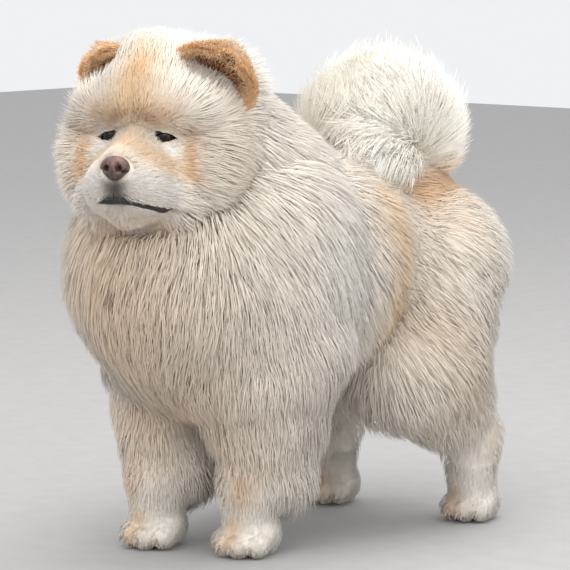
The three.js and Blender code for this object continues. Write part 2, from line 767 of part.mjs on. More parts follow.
// The bare nodes, each cut to meet its neighbours
const torsoBase = shell(torsoCore, torsoRows, 24);
const torsoGrown = grown(torsoBase);
const headGrown = grown(shell(headCore, headRows(FACE_ROWS), FACE_SEGMENTS));
const solids = {
  torso: torsoBase,
  neck: shell(neckCore, neckRows, 24).subtract(joined([torsoGrown, headGrown])),
  head: headSolid().subtract(torsoGrown),
  nose: noseSolid(),
  tail: shell(tailCore, tailRows, 14).subtract(torsoGrown),
};
const colours = { torso: CREAM, neck: CREAM, head: CREAM, nose: NOSE_BROWN, tail: WHITE };
for (const [word, side] of [["left", 1], ["right", -1]]) {
  solids[`eye_${word}`] = eyeSolid(side);
  colours[`eye_${word}`] = EYE_DARK;
  solids[`ear_${word}`] = earSolid(side);
  colours[`ear_${word}`] = TAN;
}
const legs = Object.entries(FEET).map(([name, foot]) => {
  const side = name.endsWith("left") ? 1 : -1;
  const kind = name.startsWith("fore") ? "fore" : "hind";
  const rods = kind === "fore" ? foreLegRods(side, foot) : hindLegRods(side, foot);
  const [x, y] = STANCE[kind];
  const coat = legCoat([foot[0] - side * x, foot[1] - y, 0]);
  const around = kind === "fore" ? 16 : 18;
  solids[`${name}_leg`] = largest(legSolid(rods, coat, side, around).subtract(torsoGrown));
  solids[`${name}_paw`] = pawSolid(kind, legField(rods.slice(-2), coat), foot);
  colours[`${name}_leg`] = CREAM;
  colours[`${name}_paw`] = WHITE;
  return { name, rods, coat };
});

// The long coat: which nodes carry locks, on which rows, and how many to a row
function dress(name, options) {
  const others = Object.keys(solids).filter((key) => key !== name);
  const locks = coatLocks({ ...options, others: others.map((key) => solids[key]) });
  solids[name] = joined([solids[name], ...locks]);
}
const spaced = (line, count, from = 0, to = 1) => {
  const curve = new THREE.CatmullRomCurve3(line.map((p) => new THREE.Vector3(...p)));
  return Array.from({ length: count }, (_, i) => {
    const t = from + ((to - from) * i) / (count - 1);
    return row(curve.getPoint(t).toArray(), curve.getTangent(t).toArray(), Math.PI / 2);
  });
};
const leaning = (at, axis, angles) =>
  angles.map((angle) => row(at, axis, THREE.MathUtils.degToRad(angle)));

const LOCK = { width: 76, thick: 18 };
dress("torso", {
  ...LOCK,
  field: torsoCore,
  coat: bodyCoat,
  count: 11,
  rows: [
    ...leaning(torsoLine[0], [0, 1, 0], [158, 134, 112]),
    ...spaced(torsoLine, 6),
    ...leaning(torsoLine[2], [0, 1, 0], [72, 50, 28]),
  ],
});
dress("neck", {
  ...LOCK,
  field: neckCore,
  coat: (p) => ({ ...bodyCoat(p), depth: neckCoat(p).depth }),
  width: 62,
  count: 12,
  rows: spaced([NECK_BASE, NECK_TOP], 5),
});
dress("head", {
  ...LOCK,
  width: 46,
  field: headCore,
  coat: headCoat,
  count: 15,
  rows: headRows(14).slice(5, 11),
});
dress("tail", {
  width: 40,
  thick: 11,
  field: tailCore,
  coat: () => ({ depth: TAIL_PLUME, lie: [0, 0, 1] }),
  lieOf: tailLie,
  count: 7,
  rows: spaced(TAIL_LINE, 5, 0.15, 1),
});
for (const { name, rods, coat } of legs) {
  dress(`${name}_leg`, {
    ...LOCK,
    width: 40,
    field: legField(rods, coat),
    coat,
    count: 7,
    rows: spaced([rods[0].to, rods[1].to], 3, 0.05, 0.8),
  });
}
for (const [name, made] of Object.entries(solids)) {
  const small = /paw|ear|eye|nose|head/.test(name);
  addNode(name, made, colours[name], small ? FINEST : COARSE, name === "nose" ? 0.4 : 0.9);
}

// The origin is the middle of the whole dog's box, on the floor.
const box = new THREE.Box3().setFromObject(dog);
const middle = box.getCenter(new THREE.Vector3());
dog.position.set(-middle.x, -middle.y, -box.min.z);

export default dog;
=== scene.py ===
"""A life-size chow chow: one skin under a long coat of tapered tufts, with its face, ears and feet."""

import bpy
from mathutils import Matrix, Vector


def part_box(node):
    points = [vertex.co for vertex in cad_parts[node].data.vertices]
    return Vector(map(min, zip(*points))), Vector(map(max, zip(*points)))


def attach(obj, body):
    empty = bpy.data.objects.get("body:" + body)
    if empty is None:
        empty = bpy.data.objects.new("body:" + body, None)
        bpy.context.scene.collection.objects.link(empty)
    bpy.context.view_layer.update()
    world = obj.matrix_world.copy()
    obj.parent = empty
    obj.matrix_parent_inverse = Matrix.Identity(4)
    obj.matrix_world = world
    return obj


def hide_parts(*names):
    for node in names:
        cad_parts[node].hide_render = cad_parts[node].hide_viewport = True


bl_info = {
    "name": "Chow Chow",
    "version": (1, 0, 0),
    "blender": (4, 5, 0),
    "location": "View3D > Sidebar > Chow",
    "description": "Builds a standing cream chow chow with its full coat",
    "category": "Add Mesh",
}

import math
from collections import namedtuple

import bmesh
import bpy
import numpy as np
from bpy.props import FloatProperty, FloatVectorProperty, IntProperty, PointerProperty

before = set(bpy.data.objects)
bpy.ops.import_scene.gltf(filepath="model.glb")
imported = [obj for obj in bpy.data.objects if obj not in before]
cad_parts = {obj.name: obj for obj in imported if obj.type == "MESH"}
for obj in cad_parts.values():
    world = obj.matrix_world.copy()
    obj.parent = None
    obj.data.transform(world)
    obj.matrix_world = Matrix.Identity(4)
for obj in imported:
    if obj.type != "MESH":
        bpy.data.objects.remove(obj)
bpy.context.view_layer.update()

# Sizes are in millimetres and angles in degrees, in the dog's own frame: z up, the dog faces -y, its
# left is at +x. The camera's distances and the lengths among a user's sizes are in metres.
CHEST_HEIGHT = 350
CHEST_RADIUS = 112
CHEST_FRONT = -212
LOIN_FRONT = 10
CROUP = 165
NECK_BASE = (0, -125, 415)
NECK_TOP = (-20, -206, 492)
NECK_RADIUS = 92
ELBOW_HEIGHT = 268
WRIST_HEIGHT = 88
KNEE_HEIGHT = 215
HOCK_HEIGHT = 112
LEG_TOP = 330
LEG_FADE = 120
FEET = {
    "fore_left": (54, -168),
    "fore_right": (-70, -202),
    "hind_left": (117, 196),
    "hind_right": (-100, 172),
}
STANCE = {"fore": (60, -180), "hind": (110, 185)}
PAW_WIDTH = {"fore": 76, "hind": 68}
PAW_LENGTH = {"fore": 90, "hind": 84}
PAW_TOP = 78
PAW_SOLE = 0.6
PAW_ROWS = 60
HEAD_AT = np.array((7.0, -275.0, 520.0))
HEAD_TURN = 22
EYE_AT = (33, -62, 0)
EYE_RADIUS = 12.5
NOSE_AT = np.array((0.0, -139.0, -33.0))
EAR_AT = {1: (67, -4, 60), -1: (51, -3, 63)}
EAR_SIZE = {1: 1.1, -1: 0.88}
EAR_HEIGHT = 46
EAR_WIDTH = 92
EAR_THICK = 15
EAR_CUP = 22
EAR_LEAN = -24
EAR_SPREAD = 32
EAR_FACING = 26
TAIL_LINE = np.array(
    [(0, 182, 445), (8, 184, 498), (18, 132, 524), (32, 76, 508), (46, 58, 474)], float
)
TAIL_RADIUS = 16
TAIL_PLUME = 70
# Each toe: its place across and along the paw as shares of its width and length, and its size
TOES = [(-0.37, -0.16, 0.9), (-0.125, -0.3, 1), (0.125, -0.3, 1), (0.37, -0.16, 0.9)]

# The coat: how much of its depth the skin takes up, and how its tufts sit, with painted shade at the tufts'
# roots and on the skin, and painted light at the tips
CORE_SHARE = 0.46
ROOT_SHADE = 0.97
TIP_LIGHT = 1.03
ROOT_SINK = 2.5
HIDDEN_DEPTH = 2.5
FLOOR_GAP = 0.5
FLOOR_EASE = 2
FINE_WIDTH = 0.75
LONG_COAT_FROM = 15
CHEST_SPLIT = -215
RUMP_SPLIT = 60
LEG_COAT_FROM = 48
CLUMP_COUNT = 9973
CLUMP_KEYS = np.array((73856093, 19349663, 83492791))
BAKE_PATCH = 0.0015
# The rings of a tuft: the share of the way along it, and the share of its width there
LONG = ((0.5, 1.0),)
SHORT = ((0.45, 1.0),)

# The first numbers of the random draws
TORSO_SEED = 11
NECK_SEED = 21
LEG_SEED = 31
PAW_SEED = 41
TAIL_SEED = 51
RUFF_SEED = 61
FACE_SEED = 71
EAR_SEED = 81
WHISKER_SEED = 5

# The rays that find a surface
RAY_STEP = 6
FINE_STEP = 3
MOST_STEPS = 60
HALVINGS = 9

# Grids of the small pieces, as rows and segments
EYE_GRID = (40, 56)
LID_GRID = (10, 72)
NOSE_GRID = (90, 130)
LIP_GRID = (90, 14)
CLAW_GRID = (10, 12)
WHISKER_GRID = (10, 5)

# The camera, in metres, and its angles
CAMERA_AZIMUTH = 41
CAMERA_DOWN = 6.75
CAMERA_HEIGHT = 0.803
CAMERA_DISTANCE = 4.1435
CAMERA_LEFT = 0.0249


# Vectors, held as rows of an array
def dot(a, b):
    return (a * b).sum(-1, keepdims=True)


def unit(a):
    return a / np.maximum(np.linalg.norm(a, axis=-1, keepdims=True), 1e-9)


def across(a, n):
    """The part of a that lies across n, at length one."""
    return unit(a - n * dot(a, n))


def ease(x, low, high):
    """Zero below low, one above high, and the curve 3t^2 - 2t^3 between them."""
    t = np.clip((x - low) / (high - low), 0, 1)
    return t * t * (3 - 2 * t)


def turned(p, axis, angle):
    """p turned by an angle in degrees about the x, y or z axis."""
    a = math.radians(angle)
    c, s = math.cos(a), math.sin(a)
    i, j = [(1, 2), (2, 0), (0, 1)]["xyz".index(axis)]
    q = np.array(p, float)
    q[..., i] = c * p[..., i] - s * p[..., j]
    q[..., j] = s * p[..., i] + c * p[..., j]
    return q


def into_head(p):
    """Places in the head's own frame: the head's place taken off, and its turn undone."""
    return turned(p - HEAD_AT, "z", -HEAD_TURN)


def from_head(p):
    """Places in the dog's frame, from the head's own: turned, and moved to the head's place."""
    return turned(np.array(p, float), "z", HEAD_TURN) + HEAD_AT


# The shift from the dog's frame to the CAD frame, found from where the CAD has the eyes
def eye_middle_of_cad():
    boxes = [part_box("eye_left"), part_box("eye_right")]
    corners = [np.array(corner) for pair in boxes for corner in pair]
    return np.mean(corners, axis=0) * 1000


SHIFT = eye_middle_of_cad() - from_head((0, EYE_AT[1], EYE_AT[2]))


# Flesh: tapered rods joined by a smooth union
def rod(a, b, r0, r1, spread=(1, 1, 1)):
    return (np.array(a, float), np.array(b, float), r0, r1, np.array(spread, float))


def ball(at, sizes):
    return rod(at, at, 1, 1, sizes)


def both(make):
    return [make(1), make(-1)]


def rod_distance(p, one):
    """Distance from a bar whose radius runs from r0 to r1, after the space is squeezed by the spread."""
    a, b, r0, r1, spread = one
    line = (b - a) / spread
    q = (p - a) / spread
    long = float(line @ line)
    t = np.clip(q @ line / long, 0, 1) if long > 0 else np.zeros(len(p))
    off = np.linalg.norm(q - t[:, None] * line, axis=1) - (r0 + t * (r1 - r0))
    return off * spread.min()


def soft_min(a, b, k):
    """The smaller of a and b, rounded where they differ by less than k: min - (k - |a - b|)^2 / 4k."""
    h = np.maximum(k - np.abs(a - b), 0)
    return np.minimum(a, b) - h * h / (4 * k)


def flesh(rods, k):
    """A field, negative inside: the soft minimum of the distances to all the rods."""

    def field(p):
        least = np.full(len(p), 1e4)
        for one in rods:
            least = soft_min(least, rod_distance(p, one), k)
        return least

    return field


HEAD_FLESH = flesh(
    [
        ball((0, 5, 18), (72, 80, 66)),
        ball((0, -44, 36), (48, 34, 32)),
        *both(lambda s: ball((s * 44, -20, -34), (44, 50, 46))),
        rod((0, -60, -40), (0, -104, -47), 45, 36, (1.14, 1, 0.84)),
        rod((0, -60, -12), (0, -124, -25), 19, 14),
        rod((0, -58, -73), (0, -100, -80), 28, 18, (1.25, 1, 1)),
        *both(lambda s: rod((s * 22, -112, -60), (s * 36, -80, -68), 20, 20)),
    ],
    16,
)
BROWS = flesh(both(lambda s: rod((s * 13, -74, 30), (s * 47, -60, 23), 8, 9)), 6)


def head_flesh(p):
    q = into_head(p)
    return soft_min(HEAD_FLESH(q), BROWS(q), 12)


NECK_RODS = [rod(NECK_BASE, NECK_TOP, NECK_RADIUS, NECK_RADIUS - 11)]
TORSO_RODS = [
    rod((0, -150, CHEST_HEIGHT), (0, LOIN_FRONT, CHEST_HEIGHT + 5), CHEST_RADIUS, 106),
    ball((0, CHEST_FRONT, CHEST_HEIGHT + 5), (98, 92, 96)),
    rod((0, LOIN_FRONT, CHEST_HEIGHT + 5), (0, 120, CHEST_HEIGHT + 6), 106, 98),
    rod((0, 120, CHEST_HEIGHT + 6), (0, CROUP, CHEST_HEIGHT + 2), 98, 80),
    *both(lambda s: rod((s * 68, -150, 400), (s * 70, -166, 245), 50, 46)),
    *both(lambda s: rod((s * 56, 125, 330), (s * 82, 134, 270), 70, 66)),
]


def leg_rods(name):
    side = 1 if name.endswith("left") else -1
    x, y = FEET[name]
    if name.startswith("fore"):
        elbow = (side * 70, -150, ELBOW_HEIGHT)
        wrist = (x - side, y + 8, WRIST_HEIGHT)
        return [
            rod((side * 66, -152, 340), elbow, 50, 47),
            rod(elbow, wrist, 46, 29),
            rod(wrist, (x, y, 30), 29, 29),
        ]
    knee = (side * 102, y - 92, KNEE_HEIGHT)
    hock = (x - side * 3, y - 2, HOCK_HEIGHT)
    return [
        rod((side * 76, 145, 330), knee, 78, 54),
        rod(knee, hock, 54, 28),
        rod(hock, (x, y, 30), 27, 27),
    ]


# The coat map: a place, its reach, the coat's depth there, and the way it lies.
# Places are for the left side and are mirrored.
BODY_COAT = [
    ((0, -95, 480), 90, 46, (0, 1, 0.1)),
    ((0, 40, 465), 90, 32, (0, 1, 0)),
    ((0, 150, 460), 70, 32, (0.2, 1, -0.2)),
    ((125, -130, 370), 90, 60, (0.1, 0.4, -1)),
    ((125, -50, 370), 55, 56, (0, 0.7, -1)),
    ((110, 50, 350), 60, 28, (0, 1, -0.6)),
    ((125, 140, 310), 80, 36, (0, 0.6, -1)),
    ((60, 240, 330), 80, 40, (0, 0.4, -1)),
    ((0, 20, 240), 90, 60, (0, 0.8, -0.8)),
    ((0, -290, 350), 90, 64, (0, -0.3, -1)),
    ((0, -230, 230), 60, 78, (0, 0, -1)),
    ((95, -180, 215), 50, 52, (0.1, 0, -1)),
    ((100, -190, 450), 80, 60, (0.3, 0.5, -0.8)),
    ((0, -150, 510), 70, 50, (0, 1, 0.3)),
    ((0, -290, 420), 70, 60, (0, -0.2, -1)),
    ((75, -190, 165), 45, 30, (0.2, 0, -1)),
    ((18, -170, 180), 34, 12, (0, 0.3, -1)),
    ((66, -120, 185), 45, 66, (0, 0.8, -1)),
    ((62, -130, 110), 35, 56, (0, 0.8, -1)),
    ((60, -200, 95), 40, 12, (0, 0.1, -1)),
    ((60, -180, 20), 45, 5, (0, -0.3, -1)),
    ((112, 110, 185), 55, 34, (0, 0.5, -1)),
    ((40, 130, 210), 40, 16, (0, 0.5, -1)),
    ((110, 190, 115), 45, 14, (0, 0.1, -1)),
    ((110, 190, 20), 45, 7, (0, -0.3, -1)),
]
HEAD_COAT = [
    ((0, 12, 95), 42, 37, (0, 0.8, 0.7)),
    ((85, 48, -5), 50, 54, (0.6, 0.9, -0.5)),
    ((70, -30, -30), 38, 26, (0.9, 0.7, -0.4)),
    ((66, 50, 65), 36, 56, (0.8, 0.8, 0.4)),
    ((64, -16, 60), 24, 12, (0.4, 0.2, 1)),
    ((76, -24, 20), 30, 34, (0.7, 0.5, 0.5)),
    ((50, 0, -95), 42, 34, (0.2, 0.5, -1)),
    ((0, -105, -105), 26, 9, (0, 0.6, -1)),
    ((0, -72, 55), 38, 18, (0, 0.4, 1)),
    ((0, -95, 5), 34, 4, (0.4, 0.8, 0.4)),
    ((52, -72, -20), 26, 8, (0.8, 0.9, -0.2)),
    ((0, -135, -45), 45, 4, (0.6, 1, 0)),
]


def coat_of(places, p):
    """The mean of the places' depth and lie, each weighted by exp(-(distance / reach)^2)."""
    side = np.clip(p[:, :1] / 12, -1, 1)
    q = np.concatenate([np.abs(p[:, :1]), p[:, 1:]], 1)
    total = np.full(len(p), 1e-9)
    depth = np.zeros(len(p))
    lie = np.zeros((len(p), 3))
    for at, reach, deep, way in places:
        w = np.exp(-((q - np.array(at)) ** 2).sum(1) / reach**2) + 1e-6
        total += w
        depth += w * deep
        lie += w[:, None] * np.array(way)
    lie[:, :1] *= side
    return depth / total, lie


def body_coat(p):
    return coat_of(BODY_COAT, p)


def head_coat(p):
    depth, lie = coat_of(HEAD_COAT, into_head(p))
    return depth, turned(lie, "z", HEAD_TURN)


def neck_coat(p):
    """The body's coat, thinned to nothing towards the face."""
    depth, lie = body_coat(p)
    return depth * ease(into_head(p)[:, 1], -30, 45), lie


def into_stance(name):
    """Moves places on a leg to where the maps have it, all of the way at the foot and none at the top."""
    side = 1 if name.endswith("left") else -1
    x, y = STANCE[name[:4]]
    shift = np.array((FEET[name][0] - side * x, FEET[name][1] - y, 0))
    return lambda p: p - shift * ease(LEG_TOP - p[:, 2:], 0, LEG_FADE)


def leg_coat(name):
    moved = into_stance(name)
    return lambda p: body_coat(moved(p))


def tail_coat(p):
    """The plume stands off the tail all round, and droops on the side it falls to."""
    lie = unit(p - np.array((24, 112, 440)))
    droop = ease(p[:, :1], 50, 100) * ease(520 - p[:, 2:], 0, 60)
    lie = lie + droop * np.array((0.4, 0, -1.4))
    depth = TAIL_PLUME * ease(p[:, 2], 400, 470)
    return depth, lie


def core_share(depth):
    return CORE_SHARE * ease(depth, 6, 30)


def skin_field(field, coat):
    """The flesh, swollen by the share of the coat's depth that the skin takes up."""

    def skin(p):
        depth, _ = coat(p)
        return field(p) - depth * core_share(depth)

    return skin


def tail_flesh(p):
    """Rods down the tail's line, joined softly."""
    rods = [rod(a, b, TAIL_RADIUS, TAIL_RADIUS - 1) for a, b in zip(TAIL_LINE, TAIL_LINE[1:])]
    return flesh(rods, 10)(p)


def paw_flesh(name):
    """A pad and four arched toes, each toe a short rod rising from the floor."""
    x, y = FEET[name]
    wide = PAW_WIDTH[name[:4]]
    long = PAW_LENGTH[name[:4]]
    toes = []
    for share_x, share_y, size in TOES:
        at = np.array((x + share_x * wide * 0.98, y + share_y * long, 17.0))
        back = wide * 0.12 * size
        front = wide * 0.155 * size
        toes.append(rod(at + (0, 18, 13), at, back, front, (1, 1.25, 1.1)))
    pad = flesh([ball((x, y + 10, 23), (wide * 0.38, long * 0.34, 25))], 10)
    leg = flesh(leg_rods(name)[1:], 26)
    toe_field = flesh(toes, 0.5)

    def field(p):
        return soft_min(soft_min(leg(p), pad(p), 14), toe_field(p), 3) - 1.2

    return field


# Rays: each row leaves one point, and its rays make a cone round the row's axis
def rows_along(line, steps, caps):
    """Rows down a smooth line through the points, with a round fan of rows at each end."""
    line = np.array(line, float)
    t = np.linspace(0, len(line) - 1, steps)
    i = np.clip(t.astype(int), 0, len(line) - 2)
    f = (t - i)[:, None]
    pad = np.vstack([2 * line[0] - line[1], line, 2 * line[-1] - line[-2]])
    a, b, c, d = pad[i], pad[i + 1], pad[i + 2], pad[i + 3]
    square = 2 * a - 5 * b + 4 * c - d
    cube = 3 * b - a - 3 * c + d
    at = 0.5 * (2 * b + (c - a) * f + square * f**2 + cube * f**3)
    axis = unit(np.gradient(at, axis=0))
    lean = np.full(steps, math.pi / 2)
    first = math.pi - np.arange(caps) * math.pi / 2 / caps
    last = math.pi / 2 * (1 - np.arange(1, caps + 1) / caps)
    return (
        np.vstack([np.repeat(at[:1], caps, 0), at, np.repeat(at[-1:], caps, 0)]),
        np.vstack([np.repeat(axis[:1], caps, 0), axis, np.repeat(axis[-1:], caps, 0)]),
        np.concatenate([first, lean, last]),
    )


def head_rows(count):
    """Rows that swing from the nose over the skull to the nape, as the origin moves back."""
    t = np.linspace(0, 1, count)
    s = ease(t, 0.12, 0.62)[:, None]
    at = from_head((1 - s) * np.array((0, -88, -44)) + s * np.array((0, -8, 4)))
    axis = turned(np.tile((0.0, -1.0, 0.0), (count, 1)), "z", HEAD_TURN)
    return at, axis, math.pi * t


def march(field, origin, way, step):
    """Where rays leave a field: by steps while they are inside it, then by halving the last step."""
    near = np.zeros(len(way))
    live = np.ones(len(way), bool)
    for _ in range(MOST_STEPS):
        idx = np.flatnonzero(live)
        if not len(idx):
            break
        inside = field(origin[idx] + way[idx] * (near[idx, None] + step)) < 0
        near[idx[inside]] += step
        live[idx[~inside]] = False
    low = near
    high = near + step
    for _ in range(HALVINGS):
        mid = (low + high) / 2
        inside = field(origin + way * mid[:, None]) < 0
        low = np.where(inside, mid, low)
        high = np.where(inside, high, mid)
    return origin + way * low[:, None]


def shell(field, rows, segments):
    """The points where a cone of rays round each row's axis leaves a field, as rows by segments."""
    at, axis, lean = rows
    helper = np.where(np.abs(axis[:, 2:]) > 0.9, (0.0, 1.0, 0.0), (0.0, 0.0, 1.0))
    side = unit(np.cross(helper, axis))
    up = np.cross(axis, side)
    turn = np.arange(segments) / segments * 2 * math.pi
    ring = side[:, None] * np.sin(turn)[None, :, None] + up[:, None] * np.cos(turn)[None, :, None]
    way = axis[:, None] * np.cos(lean)[:, None, None] + ring * np.sin(lean)[:, None, None]
    origin = np.repeat(at[:, None], segments, 1).reshape(-1, 3)
    return march(field, origin, way.reshape(-1, 3), RAY_STEP).reshape(len(lean), segments, 3)


def slope(field, p, h=1.5):
    """The field's outward direction, from its change over a small step along each axis."""
    steps = np.eye(3) * h
    return unit(np.stack([field(p + s) - field(p - s) for s in steps], 1))


# Markings, and some painted shade: soft blobs of colour along short lines, on the left side and mirrored
def paint(r, g, b):
    """A colour given from 0 to 255 as seen, in the shader's own linear scale."""
    c = np.array((r, g, b)) / 255
    return np.where(c <= 0.04045, c / 12.92, ((c + 0.055) / 1.055) ** 2.4)


CREAM = paint(242, 232, 219)
WHITE = paint(251, 246, 237)
# A beige used as painted shade, where the coat lies in shadow
SHADE_BEIGE = paint(214, 191, 165)
SAND = paint(232, 198, 156)
TAN = paint(214, 164, 112)
# A rust brown used as painted shade in the brow's crease
CREASE_SHADE = paint(178, 120, 74)
GREY = paint(84, 76, 74)
BODY_MARKS_AND_SHADE = [
    # Painted shade: the lower chest drawn to beige
    ((0, -300, 340), (0, -250, 250), 100, SHADE_BEIGE, 0.9),
    ((0, -310, 420), (0, -300, 380), 60, SAND, 0.35),
    ((122, -15, 430), (130, 5, 300), 36, SAND, 0.75),
    ((105, 90, 430), (125, 130, 400), 50, SAND, 0.35),
    ((0, 200, 455), (80, 175, 440), 34, TAN, 0.85),
    ((80, 175, 440), (112, 80, 440), 26, TAN, 0.8),
    ((112, 80, 440), (70, 20, 470), 24, TAN, 0.7),
    ((70, 20, 470), (10, -20, 500), 24, TAN, 0.6),
    # Painted shade: the stifle drawn to beige
    ((130, 80, 250), (125, 110, 190), 52, SHADE_BEIGE, 0.85),
    ((160, -130, 400), (150, -110, 330), 46, WHITE, 0.8),
    ((105, 235, 380), (120, 240, 300), 60, WHITE, 0.6),
    ((60, -190, 180), (60, -200, 110), 40, SAND, 0.35),
    ((60, -180, 60), (60, -180, 30), 44, WHITE, 0.85),
    ((110, 185, 60), (110, 185, 30), 44, WHITE, 0.85),
    ((74, -205, 92), (72, -208, 80), 16, TAN, 0.5),
    ((122, 200, 118), (124, 206, 85), 20, TAN, 0.65),
    ((62, -225, 22), (62, -212, 40), 15, SAND, 0.75),
    ((104, 150, 22), (104, 160, 36), 15, TAN, 0.5),
]
HEAD_MARKS_AND_SHADE = [
    ((0, 10, 110), (0, 60, 90), 70, WHITE, 0.8),
    ((0, -60, 78), (0, -82, 45), 27, SAND, 0.95),
    ((0, -66, 82), (0, -72, 66), 9, TAN, 0.6),
    ((0, -88, 30), (0, -112, -8), 21, SAND, 0.85),
    ((26, -84, 24), (46, -66, 26), 10, TAN, 0.55),
    # Painted shade: a dark line in the crease between the brow and the eye
    ((12, -88, 26), (22, -80, 14), 5, CREASE_SHADE, 0.6),
    ((56, -66, 8), (60, -72, -42), 9, TAN, 0.85),
    ((24, -104, -22), (50, -86, -36), 20, SAND, 0.8),
    ((36, -77, -17), (40, -76, -19), 8, WHITE, 0.95),
    ((24, -130, -52), (46, -98, -58), 15, paint(226, 221, 218), 0.85),
    ((0, -140, -50), (0, -138, -66), 11, GREY, 0.95),
    ((0, -124, -88), (36, -100, -92), 12, paint(226, 210, 192), 0.7),
    # Painted shade: tan under the jaw, where the head shades it
    ((0, -96, -112), (38, -66, -108), 20, TAN, 0.55),
    # Painted shade: the lower cheek behind the mouth drawn to beige
    ((80, -30, -10), (86, -20, -50), 40, SHADE_BEIGE, 0.4),
]


def segment_distance(p, a, b):
    """Distance from the straight line between a and b."""
    a, b = np.array(a, float), np.array(b, float)
    line = b - a
    t = np.clip((p - a) @ line / max(line @ line, 1e-9), 0, 1)
    return np.linalg.norm(p - a - t[:, None] * line, axis=1)


def marked(p, marks_and_shade, base):
    """The base colour, drawn towards each mark's colour by weight * exp(-(distance / radius)^2)."""
    q = np.concatenate([np.abs(p[:, :1]), p[:, 1:]], 1)
    colour = np.tile(base, (len(p), 1))
    for a, b, radius, tone, weight in marks_and_shade:
        w = weight * np.exp(-((segment_distance(q, a, b) / radius) ** 2))[:, None]
        colour = colour * (1 - w) + tone * w
    return colour


def ripple(p, size):
    """A soft uneven pattern from -1 to 1: the mean of three sines in turned directions."""
    k = 2 * math.pi / size
    a = np.sin(k * (p @ np.array((0.9, 0.3, 0.2))) + 1.3 * np.sin(k * p[:, 1] * 0.7))
    b = np.sin(k * (p @ np.array((-0.2, 0.8, 0.6))) + 1.1 * np.sin(k * p[:, 2] * 0.8))
    c = np.sin(k * (p @ np.array((0.3, -0.5, 0.9))) + 1.7 * np.sin(k * p[:, 0] * 0.6))
    return (a + b + c) / 3


def body_colour(p):
    return marked(p, BODY_MARKS_AND_SHADE, CREAM)


def head_colour(p):
    return marked(into_head(p), HEAD_MARKS_AND_SHADE, CREAM)


def leg_colour(name):
    moved = into_stance(name)
    return lambda p: body_colour(moved(p))


def tail_colour(p):
    """White, going to tan at the root and along the low edge."""
    low = ease(478 - p[:, 2:], 0, 40)
    return WHITE * (1 - 0.7 * low) + TAN * 0.7 * low


# Each part of the body: its field, coat, colours, rows of rays and rays in a row
Part = namedtuple("Part", "field coat colour rows segments")


def paw_part(name, coat, colour):
    """A paw, cut off level above the wrist and just over the floor."""
    x, y = FEET[name]
    rows = (
        np.tile((x, y - 4.0, 26.0), (PAW_ROWS, 1)),
        np.tile((0.0, 0.0, -1.0), (PAW_ROWS, 1)),
        np.linspace(0, math.pi, PAW_ROWS),
    )
    foot = paw_flesh(name)

    def cut_off(p):
        return np.maximum(np.maximum(foot(p), p[:, 2] - PAW_TOP), PAW_SOLE - p[:, 2])

    return Part(cut_off, coat, colour, rows, 110)


def all_parts():
    torso_rows = rows_along([(0, -170, 350), (0, 10, 352), (0, 170, 360)], 90, 34)
    neck_rows = rows_along([NECK_BASE, NECK_TOP], 24, 34)
    made = {
        "torso": Part(flesh(TORSO_RODS, 34), body_coat, body_colour, torso_rows, 200),
        "neck": Part(flesh(NECK_RODS, 20), neck_coat, body_colour, neck_rows, 150),
        "head": Part(head_flesh, head_coat, head_colour, head_rows(170), 200),
        "tail": Part(tail_flesh, tail_coat, tail_colour, rows_along(TAIL_LINE, 60, 16), 90),
    }
    for name in FEET:
        rods = leg_rods(name)
        line = [rods[0][0], rods[1][0], rods[2][0], rods[2][1]]
        coat = leg_coat(name)
        colour = leg_colour(name)
        made[f"{name}_leg"] = Part(flesh(rods, 26), coat, colour, rows_along(line, 80, 12), 90)
        made[f"{name}_paw"] = paw_part(name, coat, colour)
    return made


PARTS = all_parts()
SKINS = {
    name: part.field if name.endswith("paw") else skin_field(part.field, part.coat)
    for name, part in PARTS.items()
}
GRIDS = {}


def grid_of(name):
    """The part's surface as a grid, worked out once."""
    if name not in GRIDS:
        GRIDS[name] = shell(SKINS[name], PARTS[name].rows, PARTS[name].segments)
    return GRIDS[name]


# Meshes from arrays
def mesh_object(name, points, faces, colours=None, smooth=True):
    """A mesh from an array of points in millimetres and an array of equal-sided faces."""
    mesh = bpy.data.meshes.new(name)
    faces = np.asarray(faces, np.int32)
    sides = faces.shape[1]
    mesh.vertices.add(len(points))
    mesh.vertices.foreach_set("co", ((np.asarray(points) + SHIFT) / 1000).astype(np.float32).ravel())
    mesh.loops.add(faces.size)
    mesh.loops.foreach_set("vertex_index", faces.ravel())
    mesh.polygons.add(len(faces))
    mesh.polygons.foreach_set("loop_start", np.arange(0, faces.size, sides, dtype=np.int32))
    mesh.update(calc_edges=True)
    mesh.polygons.foreach_set("use_smooth", np.full(len(faces), smooth))
    if colours is not None:
        layer = mesh.color_attributes.new("Coat", "FLOAT_COLOR", "POINT")
        rgba = np.ones((len(points), 4), np.float32)
        rgba[:, :3] = colours
        layer.data.foreach_set("color", rgba.ravel())
    mesh.validate()
    obj = bpy.data.objects.new(name, mesh)
    bpy.context.collection.objects.link(obj)
    return obj


def grid_faces(rows, segments):
    """Triangles between neighbouring rows and segments, the last segment meeting the first."""
    i, j = np.meshgrid(np.arange(rows - 1), np.arange(segments), indexing="ij")
    k = (j + 1) % segments
    a, b = i * segments + j, (i + 1) * segments + j
    c, d = (i + 1) * segments + k, i * segments + k
    return np.concatenate(
        [np.stack([a, b, c], -1).reshape(-1, 3), np.stack([a, c, d], -1).reshape(-1, 3)]
    )


def outward(obj):
    """Turns a closed mesh's faces so that they all point out."""
    bm = bmesh.new()
    bm.from_mesh(obj.data)
    bmesh.ops.remove_doubles(bm, verts=bm.verts, dist=1e-5)
    bmesh.ops.recalc_face_normals(bm, faces=bm.faces)
    bm.to_mesh(obj.data)
    bm.free()
    return obj


def finished(obj, material, slot, *nodes):
    obj.data.materials.clear()
    obj.data.materials.append(material)
    if nodes:
        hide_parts(*nodes)
    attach(obj, "root")
    return obj


